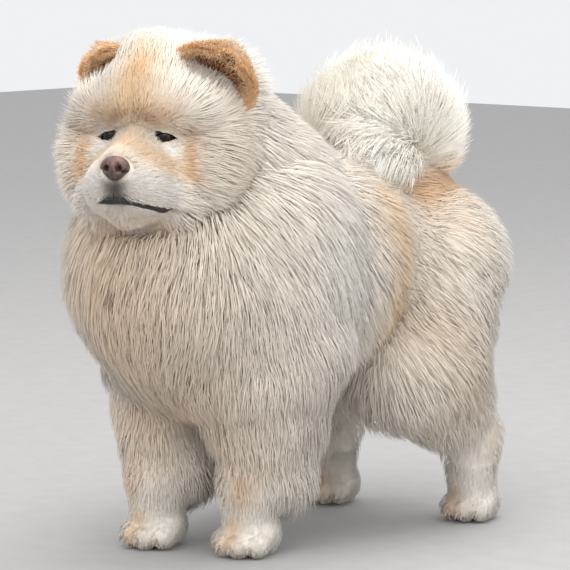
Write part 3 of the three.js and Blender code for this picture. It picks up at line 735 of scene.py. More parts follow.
# Materials
def material(name, roughness, **plain):
    """A new material with its shader's plain numbers set on its own sockets."""
    made = bpy.data.materials.new(name)
    made.use_nodes = True
    shader = made.node_tree.nodes["Principled BSDF"]
    shader.inputs["Roughness"].default_value = roughness
    for key, value in plain.items():
        shader.inputs[key.replace("_", " ")].default_value = value
    return made, made.node_tree.nodes, made.node_tree.links, shader


def object_texture(nodes, links, kind, scale):
    """A texture of a kind, read at the piece's own place."""
    place = nodes.new("ShaderNodeTexCoord")
    texture = nodes.new(kind)
    texture.inputs["Scale"].default_value = scale
    links.new(place.outputs["Object"], texture.inputs["Vector"])
    return texture


def coat_colour(nodes):
    """The colours that the mesh carries."""
    colour = nodes.new("ShaderNodeAttribute")
    colour.attribute_name = "Coat"
    return colour.outputs["Color"]


def product(nodes, links, first, second):
    mix = nodes.new("ShaderNodeMix")
    mix.data_type = "RGBA"
    mix.blend_type = "MULTIPLY"
    mix.inputs["Factor"].default_value = 1
    links.new(first, mix.inputs["A"])
    links.new(second, mix.inputs["B"])
    return mix.outputs["Result"]


def hair_material(name, roughness, sheen):
    """Coloured by the mesh's own Coat colours, with fine streaks of light and shade."""
    made, nodes, links, shader = material(
        name, roughness, Sheen_Weight=sheen, Sheen_Roughness=0.5, Specular_IOR_Level=0.25
    )
    noise = object_texture(nodes, links, "ShaderNodeTexNoise", 260)
    noise.inputs["Detail"].default_value = 3
    light = nodes.new("ShaderNodeMapRange")
    light.inputs["To Min"].default_value = 0.95
    light.inputs["To Max"].default_value = 1.05
    links.new(noise.outputs["Fac"], light.inputs["Value"])
    toned = product(nodes, links, coat_colour(nodes), light.outputs["Result"])
    links.new(toned, shader.inputs["Base Color"])
    return made


def speckled(name, dark, light, scale, roughness, bump, **plain):
    """Two tones mixed by noise, with fine cells as a bump where one is asked for."""
    made, nodes, links, shader = material(name, roughness, **plain)
    noise = object_texture(nodes, links, "ShaderNodeTexNoise", scale)
    noise.inputs["Detail"].default_value = 5
    ramp = nodes.new("ShaderNodeValToRGB")
    for stop, position, tone in zip(ramp.color_ramp.elements, (0.35, 0.7), (dark, light)):
        stop.position = position
        stop.color = (*tone, 1)
    links.new(noise.outputs["Fac"], ramp.inputs["Fac"])
    links.new(ramp.outputs["Color"], shader.inputs["Base Color"])
    if bump:
        cells = object_texture(nodes, links, "ShaderNodeTexVoronoi", scale * 2.2)
        relief = nodes.new("ShaderNodeBump")
        relief.inputs["Strength"].default_value = bump
        relief.inputs["Distance"].default_value = 0.0006
        links.new(cells.outputs["Distance"], relief.inputs["Height"])
        links.new(relief.outputs["Normal"], shader.inputs["Normal"])
    return made


# Fur
def sample(grid, count, density, rng):
    """Random places on a grid, as many to each cell as its area times the density asks."""
    corner = grid[:-1]
    right = np.roll(grid, -1, axis=1)[:-1]
    below = grid[1:]
    area = np.linalg.norm(np.cross(right - corner, below - corner), axis=-1)
    middle = (corner + right + below) / 3
    weight = (area * density(middle.reshape(-1, 3)).reshape(area.shape)).ravel()
    cell = rng.choice(len(weight), count, p=weight / weight.sum())
    i, j = np.divmod(cell, grid.shape[1])
    a, b = rng.random(count), rng.random(count)
    k = (j + 1) % grid.shape[1]
    top = grid[i, j] * (1 - a)[:, None] + grid[i, k] * a[:, None]
    low = grid[i + 1, j] * (1 - a)[:, None] + grid[i + 1, k] * a[:, None]
    p = top * (1 - b)[:, None] + low * b[:, None]
    uv = np.stack([(j + a) / grid.shape[1], (i + b) / (grid.shape[0] - 1)], 1)
    return p, uv


def clump(p, size, rng, jitter):
    """Gives each place the number of the jittered cell it falls in, so that near tufts agree."""
    cell = np.floor((p + rng.normal(0, jitter, p.shape)) / size).astype(np.int64)
    return (cell * CLUMP_KEYS).sum(1) % CLUMP_COUNT


def above_floor(z):
    """Heights under FLOOR_EASE are pressed towards FLOOR_GAP by an exponential, and never reach it."""
    pressed = FLOOR_GAP + (FLOOR_EASE - FLOOR_GAP) * np.exp((z - FLOOR_EASE) / FLOOR_EASE)
    return np.where(z < FLOOR_EASE, pressed, z)


def spindle_faces(rings):
    """The triangles of one tuft: a fan at the root, bands between its rings and a fan at the tip."""
    faces = [(0, 1 + j, 1 + (j + 1) % 3) for j in range(3)]
    for i in range(rings - 1):
        for j in range(3):
            a = 1 + 3 * i + j
            b = 1 + 3 * i + (j + 1) % 3
            faces += [(a, b + 3, b), (a, a + 3, b + 3)]
    last = 3 * rings - 2
    faces += [(last + j, last + 3, last + (j + 1) % 3) for j in range(3)]
    return np.array(faces)


def tuft_mesh(name, roots, normal, lie, length, rise, width, colour, uv, rings, own_share=0.15):
    """Closed three-sided tufts, pointed at both ends.

    The middle line is a curve from the root, sunk in the skin, to a bend and on to the tip. The bend
    stands off the skin by a little more than the tip does. Each ring is a share of the way along and
    has three corners at that share of the width. The shading normals are those of the skin, drawn to
    the tuft's own by own_share, and an own_share of one leaves its faces flat.
    """
    flat = across(lie, normal)
    start = roots - normal * ROOT_SINK
    bend = roots + normal * (rise * 1.15)[:, None] + flat * (length * 0.28)[:, None]
    tip = roots + normal * (rise * 0.9)[:, None] + flat * length[:, None]
    side = unit(np.cross(normal, flat))
    points = [start]
    round_off = [0 * start]
    # The tuft's colour gets painted shade at the root, fading to painted light at the tip
    tones = [colour * ROOT_SHADE]
    for t, broad in rings:
        one = start + (bend - start) * t
        two = bend + (tip - bend) * t
        middle = one + (two - one) * t
        up = np.cross(unit(two - one), side)
        half = (width * broad / 2)[:, None]
        tone = ROOT_SHADE + (TIP_LIGHT - ROOT_SHADE) * min(1.0, 1.4 * t)
        for angle in (90, 210, 330):
            c = math.cos(math.radians(angle))
            s = math.sin(math.radians(angle))
            points.append(middle + side * half * s + up * half * 0.8 * c)
            round_off.append(unit(side * s + up * c))
            tones.append(colour * tone)
    points.append(tip)
    round_off.append(0 * tip)
    tones.append(colour * TIP_LIGHT)
    count = len(points)
    points = np.stack(points, 1)
    points[..., 2] = above_floor(points[..., 2])
    faces = np.arange(len(roots))[:, None, None] * count + spindle_faces(len(rings))[None]
    tones = np.clip(np.stack(tones, 1).reshape(-1, 3), 0, 1)
    obj = mesh_object(name, points.reshape(-1, 3), faces.reshape(-1, 3), tones, smooth=own_share < 1)
    mesh = obj.data
    if own_share < 1:
        soft = unit((1 - own_share) * normal[:, None] + own_share * np.stack(round_off, 1))
        mesh.normals_split_custom_set_from_vertices(soft.reshape(-1, 3).astype(np.float32))
    layer = mesh.uv_layers.new(name="OFBake")
    patch = BAKE_PATCH * np.array([(math.cos(a), math.sin(a)) for a in np.linspace(0, 6.2, count)])
    place = (uv[:, None] + patch[None]).reshape(-1, 2)
    index = np.empty(len(mesh.loops), np.int32)
    mesh.loops.foreach_get("vertex_index", index)
    layer.data.foreach_set("uv", place[index].astype(np.float32).ravel())
    return obj


# The tiles of the unwrap, four to a row: one for each part, and the last for the ears
TILES = {**{name: i for i, name in enumerate(PARTS)}, "ears": 15}


def tile(name, uv):
    """Puts a part's own unwrap in its tile of a four by four sheet."""
    i = TILES[name]
    return (uv * 0.23 + 0.01) + np.array((i % 4, i // 4)) * 0.25


def everywhere(p):
    return np.ones(len(p))


def coat_piece(
    name, title, count, width, rings, seed, keep, density=everywhere,
    stretch=1.0, stand=1.0, clumps=16, radial=0.0, own_share=0.15,
):
    """Tufts over one part of the body, left out where another part covers the skin.

    Each tuft takes its length and lift from the coat's depth at its root, with small shares for its
    clump, for its layer in the coat and for chance. Radial tufts point straight along their lie.
    """
    part = PARTS[name]
    skin = SKINS[name]
    rng = np.random.default_rng(seed)
    p, uv = sample(grid_of(name), count, density, rng)
    clear = keep(p)
    for other, inside in SKINS.items():
        if other != name:
            clear &= inside(p) > -HIDDEN_DEPTH
    p, uv = p[clear], uv[clear]
    normal = slope(skin, p)
    depth, lie = part.coat(p)
    free = depth * (1 - core_share(depth)) + 1.5
    group = clump(p, clumps, rng, 3.5)
    shared = np.random.default_rng(seed + 1).normal(0, 1, (CLUMP_COUNT, 4))[group]
    along = np.maximum(dot(unit(lie), normal)[:, 0], 0.15) * radial * ease(p[:, 2], 480, 535)
    swirl = np.cross(normal, across(lie, normal))
    bend = 0.08 * shared[:, :1] + 0.08 * rng.normal(0, 1, (len(p), 1)) + 0.12 * ripple(p, 90)[:, None]
    lie = across(lie, normal) + swirl * bend
    layer = rng.random(len(p)) ** 0.6
    rise = free * (0.45 + 0.47 * layer) * (1 + 0.04 * shared[:, 1]) * stand
    length = (depth * 0.7 + 6) * (0.72 + 0.32 * layer) * (1 + 0.07 * shared[:, 2]) * stretch
    if radial:
        wisp = (rng.random(len(p)) > 0.85) * rng.random(len(p))
        whole = free * (0.7 + 0.45 * layer + 0.5 * wisp)
        rise = rise * (1 - along) + whole * along
        length = length * (1 - along) + whole * np.sqrt(1 - along**2) * along
    chance = 0.045 * rng.normal(0, 1, (len(p), 1))
    tone = 1 + 0.035 * shared[:, 3:] + chance + 0.04 * ripple(p, 60)[:, None]
    size = width(depth) * (0.75 + 0.5 * rng.random(len(p)))
    colour = part.colour(p) * tone
    return tuft_mesh(title, p, normal, lie, length, rise, size, colour, tile(name, uv), rings, own_share)


def tuft_count(name, description, default):
    return IntProperty(name=name, description=description, default=default, min=200)


def shown_colour(name, description, default):
    return FloatVectorProperty(
        name=name, description=description, subtype="COLOR", size=3, default=tuple(default)
    )


class ChowSizes(bpy.types.PropertyGroup):
    """The sizes of the coat and the camera that a user may change."""

    body_tufts: tuft_count("Body tufts", "Tufts on the torso", 118000)
    neck_tufts: tuft_count("Neck tufts", "Tufts on the neck", 58000)
    head_tufts: tuft_count("Head tufts", "Long tufts round the face", 32000)
    face_tufts: tuft_count("Face tufts", "Short tufts on the face", 33000)
    leg_tufts: tuft_count("Leg tufts", "Tufts on each leg", 23000)
    paw_tufts: tuft_count("Paw tufts", "Short tufts on each paw", 5500)
    tail_tufts: tuft_count("Tail tufts", "Tufts in the plume", 26000)
    ear_tufts: tuft_count("Ear tufts", "Tufts on each ear", 7000)
    voxel: FloatProperty(name="Skin grain", description="Grain of the skin", default=0.0042, unit="LENGTH")
    tuft_width: FloatProperty(
        name="Tuft width", description="Width of a long tuft", default=0.0013, unit="LENGTH"
    )
    lens: FloatProperty(name="Lens", description="Focal length on a 36 mm frame", default=209.2)


class ChowColours(bpy.types.PropertyGroup):
    """The colours of the bare pieces and the floor."""

    nose: shown_colour("Nose", "Nose leather", paint(132, 98, 86))
    lips: shown_colour("Lips", "Lips and lids", paint(26, 21, 21))
    iris: shown_colour("Iris", "Eye colour", paint(34, 20, 13))
    floor: shown_colour("Floor", "Floor colour", (0.44, 0.43, 0.42))


class CHOW_OT_skin(bpy.types.Operator):
    """Joins the surfaces of all the parts into one skin with no seams"""

    bl_idname = "chow.skin"
    bl_label = "Skin"

    def execute(self, context):
        points = []
        faces = []
        start = 0
        for name in PARTS:
            grid = grid_of(name)
            faces.append(grid_faces(*grid.shape[:2]) + start)
            flat = grid.reshape(-1, 3)
            points.append(flat)
            start += len(flat)
        obj = mesh_object("skin", np.concatenate(points), np.concatenate(faces))
        outward(obj)
        remesh = obj.modifiers.new("join", "REMESH")
        remesh.mode = "VOXEL"
        remesh.voxel_size = context.scene.chow_sizes.voxel
        relax = obj.modifiers.new("relax", "SMOOTH")
        relax.iterations = 6
        context.view_layer.objects.active = obj
        obj.select_set(True)
        for modifier in ("join", "relax"):
            bpy.ops.object.modifier_apply(modifier=modifier)
        mesh = obj.data
        co = np.empty(len(mesh.vertices) * 3, np.float32)
        mesh.vertices.foreach_get("co", co)
        p = co.reshape(-1, 3) * 1000 - SHIFT
        nearest = np.argmin([SKINS[name](p) for name in PARTS], axis=0)
        colour = np.zeros((len(p), 3))
        for i, name in enumerate(PARTS):
            here = nearest == i
            colour[here] = PARTS[name].colour(p[here])
        layer = mesh.color_attributes.new("Coat", "FLOAT_COLOR", "POINT")
        rgba = np.ones((len(p), 4), np.float32)
        # The skin under the coat is darkened by the same painted shade as the tufts' roots
        rgba[:, :3] = colour * ROOT_SHADE
        layer.data.foreach_set("color", rgba.ravel())
        mesh.polygons.foreach_set("use_smooth", np.ones(len(mesh.polygons), bool))
        replaced = ["head", "neck", "torso", "tail"]
        replaced += [f"{name}_{kind}" for name in FEET for kind in ("leg", "paw")]
        finished(obj, hair_material("undercoat", 0.9, 0.1), "cream_coat", *replaced)
        return {"FINISHED"}


class CHOW_OT_body_coat(bpy.types.Operator):
    """Lays the long coat over the torso, neck, legs, feet and tail"""

    bl_idname = "chow.body_coat"
    bl_label = "Body coat"

    def execute(self, context):
        sizes = context.scene.chow_sizes
        long = hair_material("long_coat", 0.68, 0.3)
        wide = sizes.tuft_width * 1000

        def width(depth):
            return FINE_WIDTH + (wide - FINE_WIDTH) * ease(depth, 8, 40)

        def middle(p):
            return (p[:, 1] >= CHEST_SPLIT) & (p[:, 1] < RUMP_SPLIT)

        for title, keep in (
            ("coat_chest", lambda p: p[:, 1] < CHEST_SPLIT),
            ("coat_left", lambda p: middle(p) & (p[:, 0] > 0)),
            ("coat_right", lambda p: middle(p) & (p[:, 0] <= 0)),
            ("coat_rump", lambda p: p[:, 1] >= RUMP_SPLIT),
        ):
            obj = coat_piece("torso", title, sizes.body_tufts, width, LONG, TORSO_SEED, keep)
            finished(obj, long, "cream_coat")
        for title, keep in (
            ("coat_neck_left", lambda p: p[:, 0] > 0),
            ("coat_neck_right", lambda p: p[:, 0] <= 0),
        ):
            obj = coat_piece("neck", title, sizes.neck_tufts, width, LONG, NECK_SEED, keep)
            finished(obj, long, "cream_coat")
        for i, name in enumerate(FEET):
            obj = coat_piece(
                f"{name}_leg", f"coat_{name}_leg", sizes.leg_tufts, width, SHORT, LEG_SEED + i,
                lambda p: p[:, 2] > LEG_COAT_FROM,
            )
            finished(obj, long, "cream_coat")
            obj = coat_piece(
                f"{name}_paw", f"coat_{name}_paw", sizes.paw_tufts, lambda depth: 0.8 + 0 * depth, SHORT,
                PAW_SEED + i, lambda p: (p[:, 2] > 4) & (p[:, 2] < 74), stretch=0.62, stand=0.6,
            )
            finished(obj, long, "white_coat")
        obj = coat_piece(
            "tail", "coat_tail", sizes.tail_tufts, lambda depth: 1.0 + 0 * depth, LONG, TAIL_SEED,
            lambda p: np.ones(len(p), bool), stretch=0.85, clumps=12, radial=1.0, own_share=1.0,
        )
        finished(obj, long, "white_coat")
        return {"FINISHED"}


def clear_of_features(p):
    """Away from the eyes and the nose, which are ellipsoids, and from a tube round the mouth's line."""
    q = into_head(p)
    a = np.concatenate([np.abs(q[:, :1]), q[:, 1:]], 1)
    eye_middle = np.array(EYE_AT) + (0, -10, 0)
    eye = np.linalg.norm((a - eye_middle) / np.array((16, 15, 9.5)), axis=1) > 1
    nose = np.linalg.norm((q - NOSE_AT) / np.array((19, 22, 15)), axis=1) > 1
    mouth = np.full(len(q), 99.0)
    for one in into_head(mouth_line(60, 0.0)):
        edge = 3.3 * float(ease(one[0], -26, -14)) + 2.4 * float(ease(14 - abs(one[0]), 0, 8))
        mouth = np.minimum(mouth, np.linalg.norm(q - one, axis=1) - edge)
    return eye & nose & (mouth > 0)


class CHOW_OT_head_coat(bpy.types.Operator):
    """Lays the ruff and crown round the face and the short plush on it"""

    bl_idname = "chow.head_coat"
    bl_label = "Head coat"

    def execute(self, context):
        sizes = context.scene.chow_sizes
        plush = hair_material("plush", 0.72, 0.25)

        obj = coat_piece(
            "head", "coat_ruff", sizes.head_tufts, lambda depth: FINE_WIDTH + 0.5 * ease(depth, 8, 40),
            LONG, RUFF_SEED, lambda p: clear_of_features(p) & (head_coat(p)[0] > LONG_COAT_FROM),
            density=lambda p: (head_coat(p)[0] > LONG_COAT_FROM - 1) * 1.0,
            stretch=1.45,
        )
        finished(obj, plush, "cream_coat")
        obj = coat_piece(
            "head", "coat_face", sizes.face_tufts, lambda depth: 0.6 + 0.3 * ease(depth, 4, 14),
            SHORT, FACE_SEED, lambda p: clear_of_features(p) & (head_coat(p)[0] <= LONG_COAT_FROM + 2),
            density=lambda p: (head_coat(p)[0] < LONG_COAT_FROM + 3) * 1.0,
            clumps=7,
        )
        finished(obj, plush, "cream_coat")
        return {"FINISHED"}


def ear_point(u, v, face):
    """A cupped sheet: u runs across from -1 to 1 and v from the root to the tip.

    The half width narrows to the tip, the middle bulges back as EAR_CUP * (1 - u^2), and face, which is
    1 in front and -1 behind, adds half the thickness.
    """
    half = EAR_WIDTH / 2 * np.sqrt(1 - 0.85 * v**2.6)
    rounded = np.sqrt(np.maximum(0, 1 - 0.8 * u * u))
    thick = EAR_THICK * (1 - 0.35 * v) * (0.35 + 0.65 * rounded) / 2
    y = EAR_CUP * (1 - u * u) * (1 - 0.5 * v) - 9 * v * v - face * thick
    z = -14 + (EAR_HEIGHT + 14) * v * (0.8 + 0.2 * rounded)
    return half * u, y, z


def ear_grid(side, around=64, up=26):
    """The whole flap as rings round its edge: each ring goes across the front and back behind."""
    turn = np.arange(around) / around * 2 * math.pi
    u = np.cos(turn)[None] * np.ones((up, 1))
    face = np.sin(turn)[None] * np.ones((up, 1))
    v = np.linspace(0, 1, up)[:, None] * np.ones((1, around))
    x, y, z = ear_point(u, v, face)
    p = np.stack([side * x, y, z], -1) * EAR_SIZE[side]
    p = turned(p, "x", -EAR_LEAN)
    p = turned(p, "y", side * EAR_SPREAD)
    p = turned(p, "z", side * EAR_FACING)
    return from_head(p + np.array(EAR_AT[side]) * (side, 1, 1))


def ear_skin(word, grid, leather):
    """The bare flap: the rings joined and closed by a fan at the tip and at the root, darkened inside the
    cup by painted shade.
    """
    up, around = grid.shape[:2]
    points = np.concatenate([grid.reshape(-1, 3), grid[-1:].mean(1), grid[:1].mean(1)])
    j = np.arange(around)
    k = (j + 1) % around
    last = (up - 1) * around
    tip = np.full(around, len(points) - 2)
    root = np.full(around, len(points) - 1)
    top = np.stack([last + j, tip, last + k], 1)
    low = np.stack([k, root, j], 1)
    faces = np.concatenate([grid_faces(up, around), top, low])
    turn = j / around * 2 * math.pi
    # Painted shade: the front of the flap, inside the cup, is drawn to dark brown
    cup_shade = ease(np.sin(turn), 0.2, 0.8)[None, :, None] * np.ones((up, 1, 1))
    tone = paint(128, 82, 60) * cup_shade + TAN * (1 - cup_shade)
    tone = np.concatenate([tone.reshape(-1, 3), [TAN, TAN]])
    obj = mesh_object(f"ear_skin_{word}", points, faces, tone * 0.8)
    outward(obj)
    finished(obj, leather, "tan_coat", f"ear_{word}")


def ear_normals(grid, i, c):
    """The flap's outward directions at some of its cells, with one sign for the whole flap."""
    up, around = grid.shape[:2]
    right = grid[i, (c + 1) % around] - grid[i, c]
    normal = unit(np.cross(right, grid[i + 1, c] - grid[i, c]))
    middle = up // 2
    front = around // 4
    thick = grid[middle, front] - grid[middle, 3 * front]
    ring = grid[middle, front + 1] - grid[middle, front]
    rising = grid[middle + 1, front] - grid[middle, front]
    return normal * np.sign(np.cross(ring, rising) @ thick)


def ear_tones(front, roll, inside, rng):
    """Tan, deeper along the rolled edge, darkened inside the cup by painted shade, and paler on the back.
    """
    edge = roll * ease(front, 0, 0.5) * (1 - ease(roll, 0.6, 1))
    tone = paint(236, 200, 156) * (1 - edge) + paint(206, 150, 100) * edge
    # Painted shade: the plush inside the cup is drawn to dark brown
    tone = tone * (1 - inside) + paint(150, 98, 70) * inside
    pale = ease(-front, 0.3, 1.0) * 0.5
    tone = tone * (1 - pale) + CREAM * pale
    return tone * (1 + 0.07 * rng.normal(0, 1, (len(front), 1)))


def ear_coat(word, side, grid, count, plush):
    """Plush all over the flap, sparse in the cup, that leans to the tip and stands most at the edge."""
    up, around = grid.shape[:2]
    turn = np.arange(around) / around * 2 * math.pi
    rng = np.random.default_rng(EAR_SEED + side)
    i, c = rng.integers(0, up - 1, count), rng.integers(0, around, count)
    front = np.sin(turn[c])
    roll = ease(np.maximum(i / up, np.abs(np.cos(turn[c])) ** 1.5), 0.25, 0.7)
    inside = ease(front, 0.1, 0.6) * (1 - roll)
    some = rng.random(count) > 0.75 * inside
    i, c, front, roll, inside = i[some], c[some], front[some], roll[some], inside[some]
    a = rng.random((len(i), 1))
    p = grid[i, c] * (1 - a) + grid[i + 1, (c + 1) % around] * a
    lie = unit(grid[-1].mean(0) - grid[0].mean(0)) + 0.5 * unit(p - grid[i].mean(1))
    lie = lie + 0.2 * rng.normal(0, 1, p.shape)
    length = (9 + 5 * rng.random(len(p))) * (1 - 0.4 * inside)
    rise = (3 + 6 * roll) * (0.7 + 0.5 * rng.random(len(p)))
    tone = ear_tones(front[:, None], roll[:, None], inside[:, None], rng)
    uv = np.stack([c / around, i / up], 1) * np.array((0.45, 0.9)) + (0.5 * (side > 0), 0)
    obj = tuft_mesh(
        f"coat_ear_{word}", p, ear_normals(grid, i, c), lie, length, rise, 0.9 * np.ones(len(p)), tone,
        tile("ears", uv), SHORT, 1.0,
    )
    finished(obj, plush, "tan_coat")


class CHOW_OT_ears(bpy.types.Operator):
    """Makes the two small cupped ears and their plush"""

    bl_idname = "chow.ears"
    bl_label = "Ears"

    def execute(self, context):
        leather = hair_material("ear_skin", 0.8, 0.15)
        plush = hair_material("ear_plush", 0.72, 0.25)
        for word, side in (("left", 1), ("right", -1)):
            grid = ear_grid(side)
            ear_skin(word, grid, leather)
            ear_coat(word, side, grid, context.scene.chow_sizes.ear_tufts, plush)
        return {"FINISHED"}


def sphere_grid(rows, segments):
    """Directions over a ball: the polar angle runs down the rows and the turn round the segments."""
    a = np.linspace(0, math.pi, rows)[:, None]
    b = (np.arange(segments) / segments * 2 * math.pi)[None]
    return np.stack([np.sin(a) * np.cos(b), np.sin(a) * np.sin(b), np.cos(a) * np.ones_like(b)], -1)


def eye_axis(side):
    """The way an eye looks, in the head's frame."""
    return unit(np.array((side * 0.34, -1.0, 0.04)))


def eye_frame(side):
    look = eye_axis(side)
    out = across(np.array((side * 1.0, 0.0, 0.14)), look)
    return look, out, np.cross(look, out) * side * -1


def eyeball(word, side, iris_colour, finish):
    """A ball that swells a little at the front, with the iris and pupil as rings of colour."""
    look, out, up = eye_frame(side)
    grid = sphere_grid(*EYE_GRID)
    local = grid[..., 2:] * look + grid[..., :1] * out + grid[..., 1:2] * up
    swell = 1 + 0.05 * ease(grid[..., 2:], 0.8, 1.0)
    p = from_head(np.array((side * EYE_AT[0], *EYE_AT[1:]), float) + local * EYE_RADIUS * swell)
    seen = np.arccos(np.clip(grid[..., 2], -1, 1))
    iris = ease(0.72 - seen, 0, 0.08)[..., None]
    pupil = ease(0.34 - seen, 0, 0.05)[..., None]
    shade = np.tile(paint(38, 26, 22), (*seen.shape, 1))
    shade = shade * (1 - iris) + iris_colour * iris
    shade = shade * (1 - pupil) + 0.004 * pupil
    obj = mesh_object(f"eyeball_{word}", p.reshape(-1, 3), grid_faces(*EYE_GRID), shade.reshape(-1, 3))
    outward(obj)
    finished(obj, finish, "eye", f"eye_{word}")


def eyelid(word, side, finish):
    """A band from the almond edge of the opening outward over the ball and down into the skin."""
    look, out, up = eye_frame(side)
    rings, around = LID_GRID
    turn = np.arange(around) / around * 2 * math.pi
    half_width = 12.0
    half_height = 6.6
    edge_x = half_width * np.cos(turn)
    edge_z = half_height * np.sin(turn) * (1 - 0.35 * np.cos(turn) ** 2) + 0.8 * np.cos(turn)
    s = np.linspace(0, 1, rings)[:, None]
    x = edge_x * (1 + 1.05 * s)
    z = edge_z * (1 + 2.4 * s)
    radius = EYE_RADIUS + 1.0 + 1.6 * np.sin(np.minimum(s * 2.2, 1) * math.pi / 2)
    reach = np.minimum(np.hypot(x, z), radius * 0.94)
    ahead = np.sqrt(np.maximum(radius**2 - reach**2, 0)) - 5.5 * s**2
    centre = np.array((side * EYE_AT[0], *EYE_AT[1:]), float)
    p = centre + x[..., None] * out + z[..., None] * up + ahead[..., None] * look
    obj = mesh_object(f"eyelid_{word}", from_head(p).reshape(-1, 3), grid_faces(*LID_GRID))
    thick = obj.modifiers.new("lid", "SOLIDIFY")
    thick.thickness = 0.0012
    thick.offset = 0
    finished(obj, finish, "eye")


class CHOW_OT_eyes(bpy.types.Operator):
    """Makes the deep-set eyes, their lids and dark rims"""

    bl_idname = "chow.eyes"
    bl_label = "Eyes"

    def execute(self, context):
        colours = context.scene.chow_colours
        wet, nodes, links, shader = material(
            "eye", 0.12, Coat_Weight=0.12, Coat_Roughness=0.04, Specular_IOR_Level=0.25
        )
        links.new(coat_colour(nodes), shader.inputs["Base Color"])
        dark = np.array(colours.lips)
        rim = speckled("lid_skin", tuple(dark), tuple(dark * 1.7), 420, 0.42, 0.3)
        for word, side in (("left", 1), ("right", -1)):
            eyeball(word, side, np.array(colours.iris), wet)
            eyelid(word, side, rim)
        return {"FINISHED"}


def nose_shape():
    """The pad and its painted shade: an ellipsoid, narrower below, pressed in by bell curves.

    Each nostril is a round bell curve and a flat one beside it, and the groove is a narrow one down
    the middle of the lower half.
    """
    grid = sphere_grid(*NOSE_GRID)
    d = np.stack([grid[..., 0], -grid[..., 2], grid[..., 1]], -1)
    p = d * np.array((18.0, 14, 14.6))
    p[..., 0] *= 1 - 0.28 * ease(-p[..., 2], -2, 12)
    p[..., 1] += 2.2 * ease(-d[..., 1], 0.5, 1.0)
    a = np.abs(p[..., 0])
    z = p[..., 2]
    front = d[..., 1] < 0
    hole = np.exp(-(((a - 7.6) / 3.1) ** 2) - ((z - 0.5) / 3.9) ** 2)
    slit = np.exp(-(((a - 13) / 4.2) ** 2) - ((z + 2.8) / 1.7) ** 2)
    groove = np.exp(-((a / 0.9) ** 2)) * ease(4 - z, 0, 6)
    p[..., 1] += (7.5 * np.maximum(hole, 0.75 * slit) + 1.3 * groove) * front
    # Painted shade: near black in the nostrils, and darker towards the bottom and the sides of the pad
    dark = np.clip(1 - 0.95 * np.maximum(hole, 0.8 * slit) * front, 0.03, 1)
    dark *= (0.45 + 0.55 * ease(z, -10, 5)) * (0.6 + 0.4 * ease(17 - a, 0, 9))
    return p, dark


class CHOW_OT_nose(bpy.types.Operator):
    """Makes the broad nose with its comma-shaped nostrils"""

    bl_idname = "chow.nose"
    bl_label = "Nose"

    def execute(self, context):
        tone = np.array(context.scene.chow_colours.nose)
        finish = speckled("nose_leather", tone * 0.4, tone * 1.05, 240, 0.36, 0.7, Coat_Weight=0.25)
        p, dark = nose_shape()
        place = from_head(NOSE_AT + p + (0, 0, 1.5)).reshape(-1, 3)
        # The pad's painted shade, carried as the mesh's colours and multiplied into the leather's colour
        shade = np.repeat(dark.reshape(-1, 1), 3, 1)
        obj = mesh_object("nose_pad", place, grid_faces(*NOSE_GRID), shade)
        outward(obj)
        nodes, links = finish.node_tree.nodes, finish.node_tree.links
        tinted = nodes["Principled BSDF"].inputs["Base Color"]
        leather = tinted.links[0].from_socket
        links.new(product(nodes, links, leather, coat_colour(nodes)), tinted)
        finished(obj, finish, "nose", "nose")
        return {"FINISHED"}


MOUTH_SIDE = np.array(
    [(0, -140, -67), (18, -135, -69), (34, -122, -75), (46, -104, -81), (56, -84, -79)], float
)


def smooth_line(points, count):
    """A smooth line through the points, by the same cubic as the rows of rays."""
    return rows_along(points, count, 0)[0]


def mouth_line(count, drop):
    """The mouth's line laid on the muzzle, from one corner round the front to the other."""
    mirrored = MOUTH_SIDE[:0:-1] * np.array((-1, 1, 1))
    line = smooth_line(np.vstack([mirrored, MOUTH_SIDE]), count)
    line[:, 2] += drop
    origin = np.tile(from_head((0, -74, -64 + drop)), (count, 1))
    return march(SKINS["head"], origin, unit(from_head(line) - origin), FINE_STEP)


def tube(line, radius, sides, flat=1.0):
    """A round profile carried along a line, its radius given at each point, closed by the taper."""
    axis = unit(np.gradient(line, axis=0))
    side = across(np.tile((0.0, 0.0, 1.0), (len(line), 1)), axis)
    other = np.cross(axis, side)
    turn = np.arange(sides) / sides * 2 * math.pi
    ring = side[:, None] * np.cos(turn)[None, :, None] * flat
    ring = ring + other[:, None] * np.sin(turn)[None, :, None]
    return line[:, None] + ring * radius[:, None, None]


class CHOW_OT_mouth(bpy.types.Operator):
    """Makes the black lips round the long line of the mouth"""

    bl_idname = "chow.mouth"
    bl_label = "Mouth"

    def execute(self, context):
        lips = np.array(context.scene.chow_colours.lips)
        finish = speckled("lip_skin", lips * 0.7, lips * 1.8, 300, 0.38, 0.35, Coat_Weight=0.15)
        rows, segments = LIP_GRID
        along = np.linspace(-1, 1, rows)
        t = np.abs(along)
        for title, drop, size in (("lip_upper", 1.8, 3.8), ("lip_lower", -2.8, 3.8)):
            line = mouth_line(rows, drop)
            front = ease(0.34 - t, 0, 0.25)
            corner = ease(t, 0.5, 0.75)
            radius = size * (0.66 + 0.5 * front + 0.45 * corner) * (1 - 0.97 * ease(t, 0.8, 1.0))
            radius *= 1 - 0.6 * ease(-along, 0.2, 0.4)
            grid = tube(line, radius, segments)
            obj = mesh_object(title, grid.reshape(-1, 3), grid_faces(*LIP_GRID))
            outward(obj)
            finished(obj, finish, "nose")
        return {"FINISHED"}


def joined(name, tubes):
    """One mesh from tubes of the same grid."""
    rows, segments = tubes[0].shape[:2]
    points = np.concatenate([one.reshape(-1, 3) for one in tubes])
    faces = [grid_faces(rows, segments) + i * rows * segments for i in range(len(tubes))]
    return mesh_object(name, points, np.concatenate(faces))


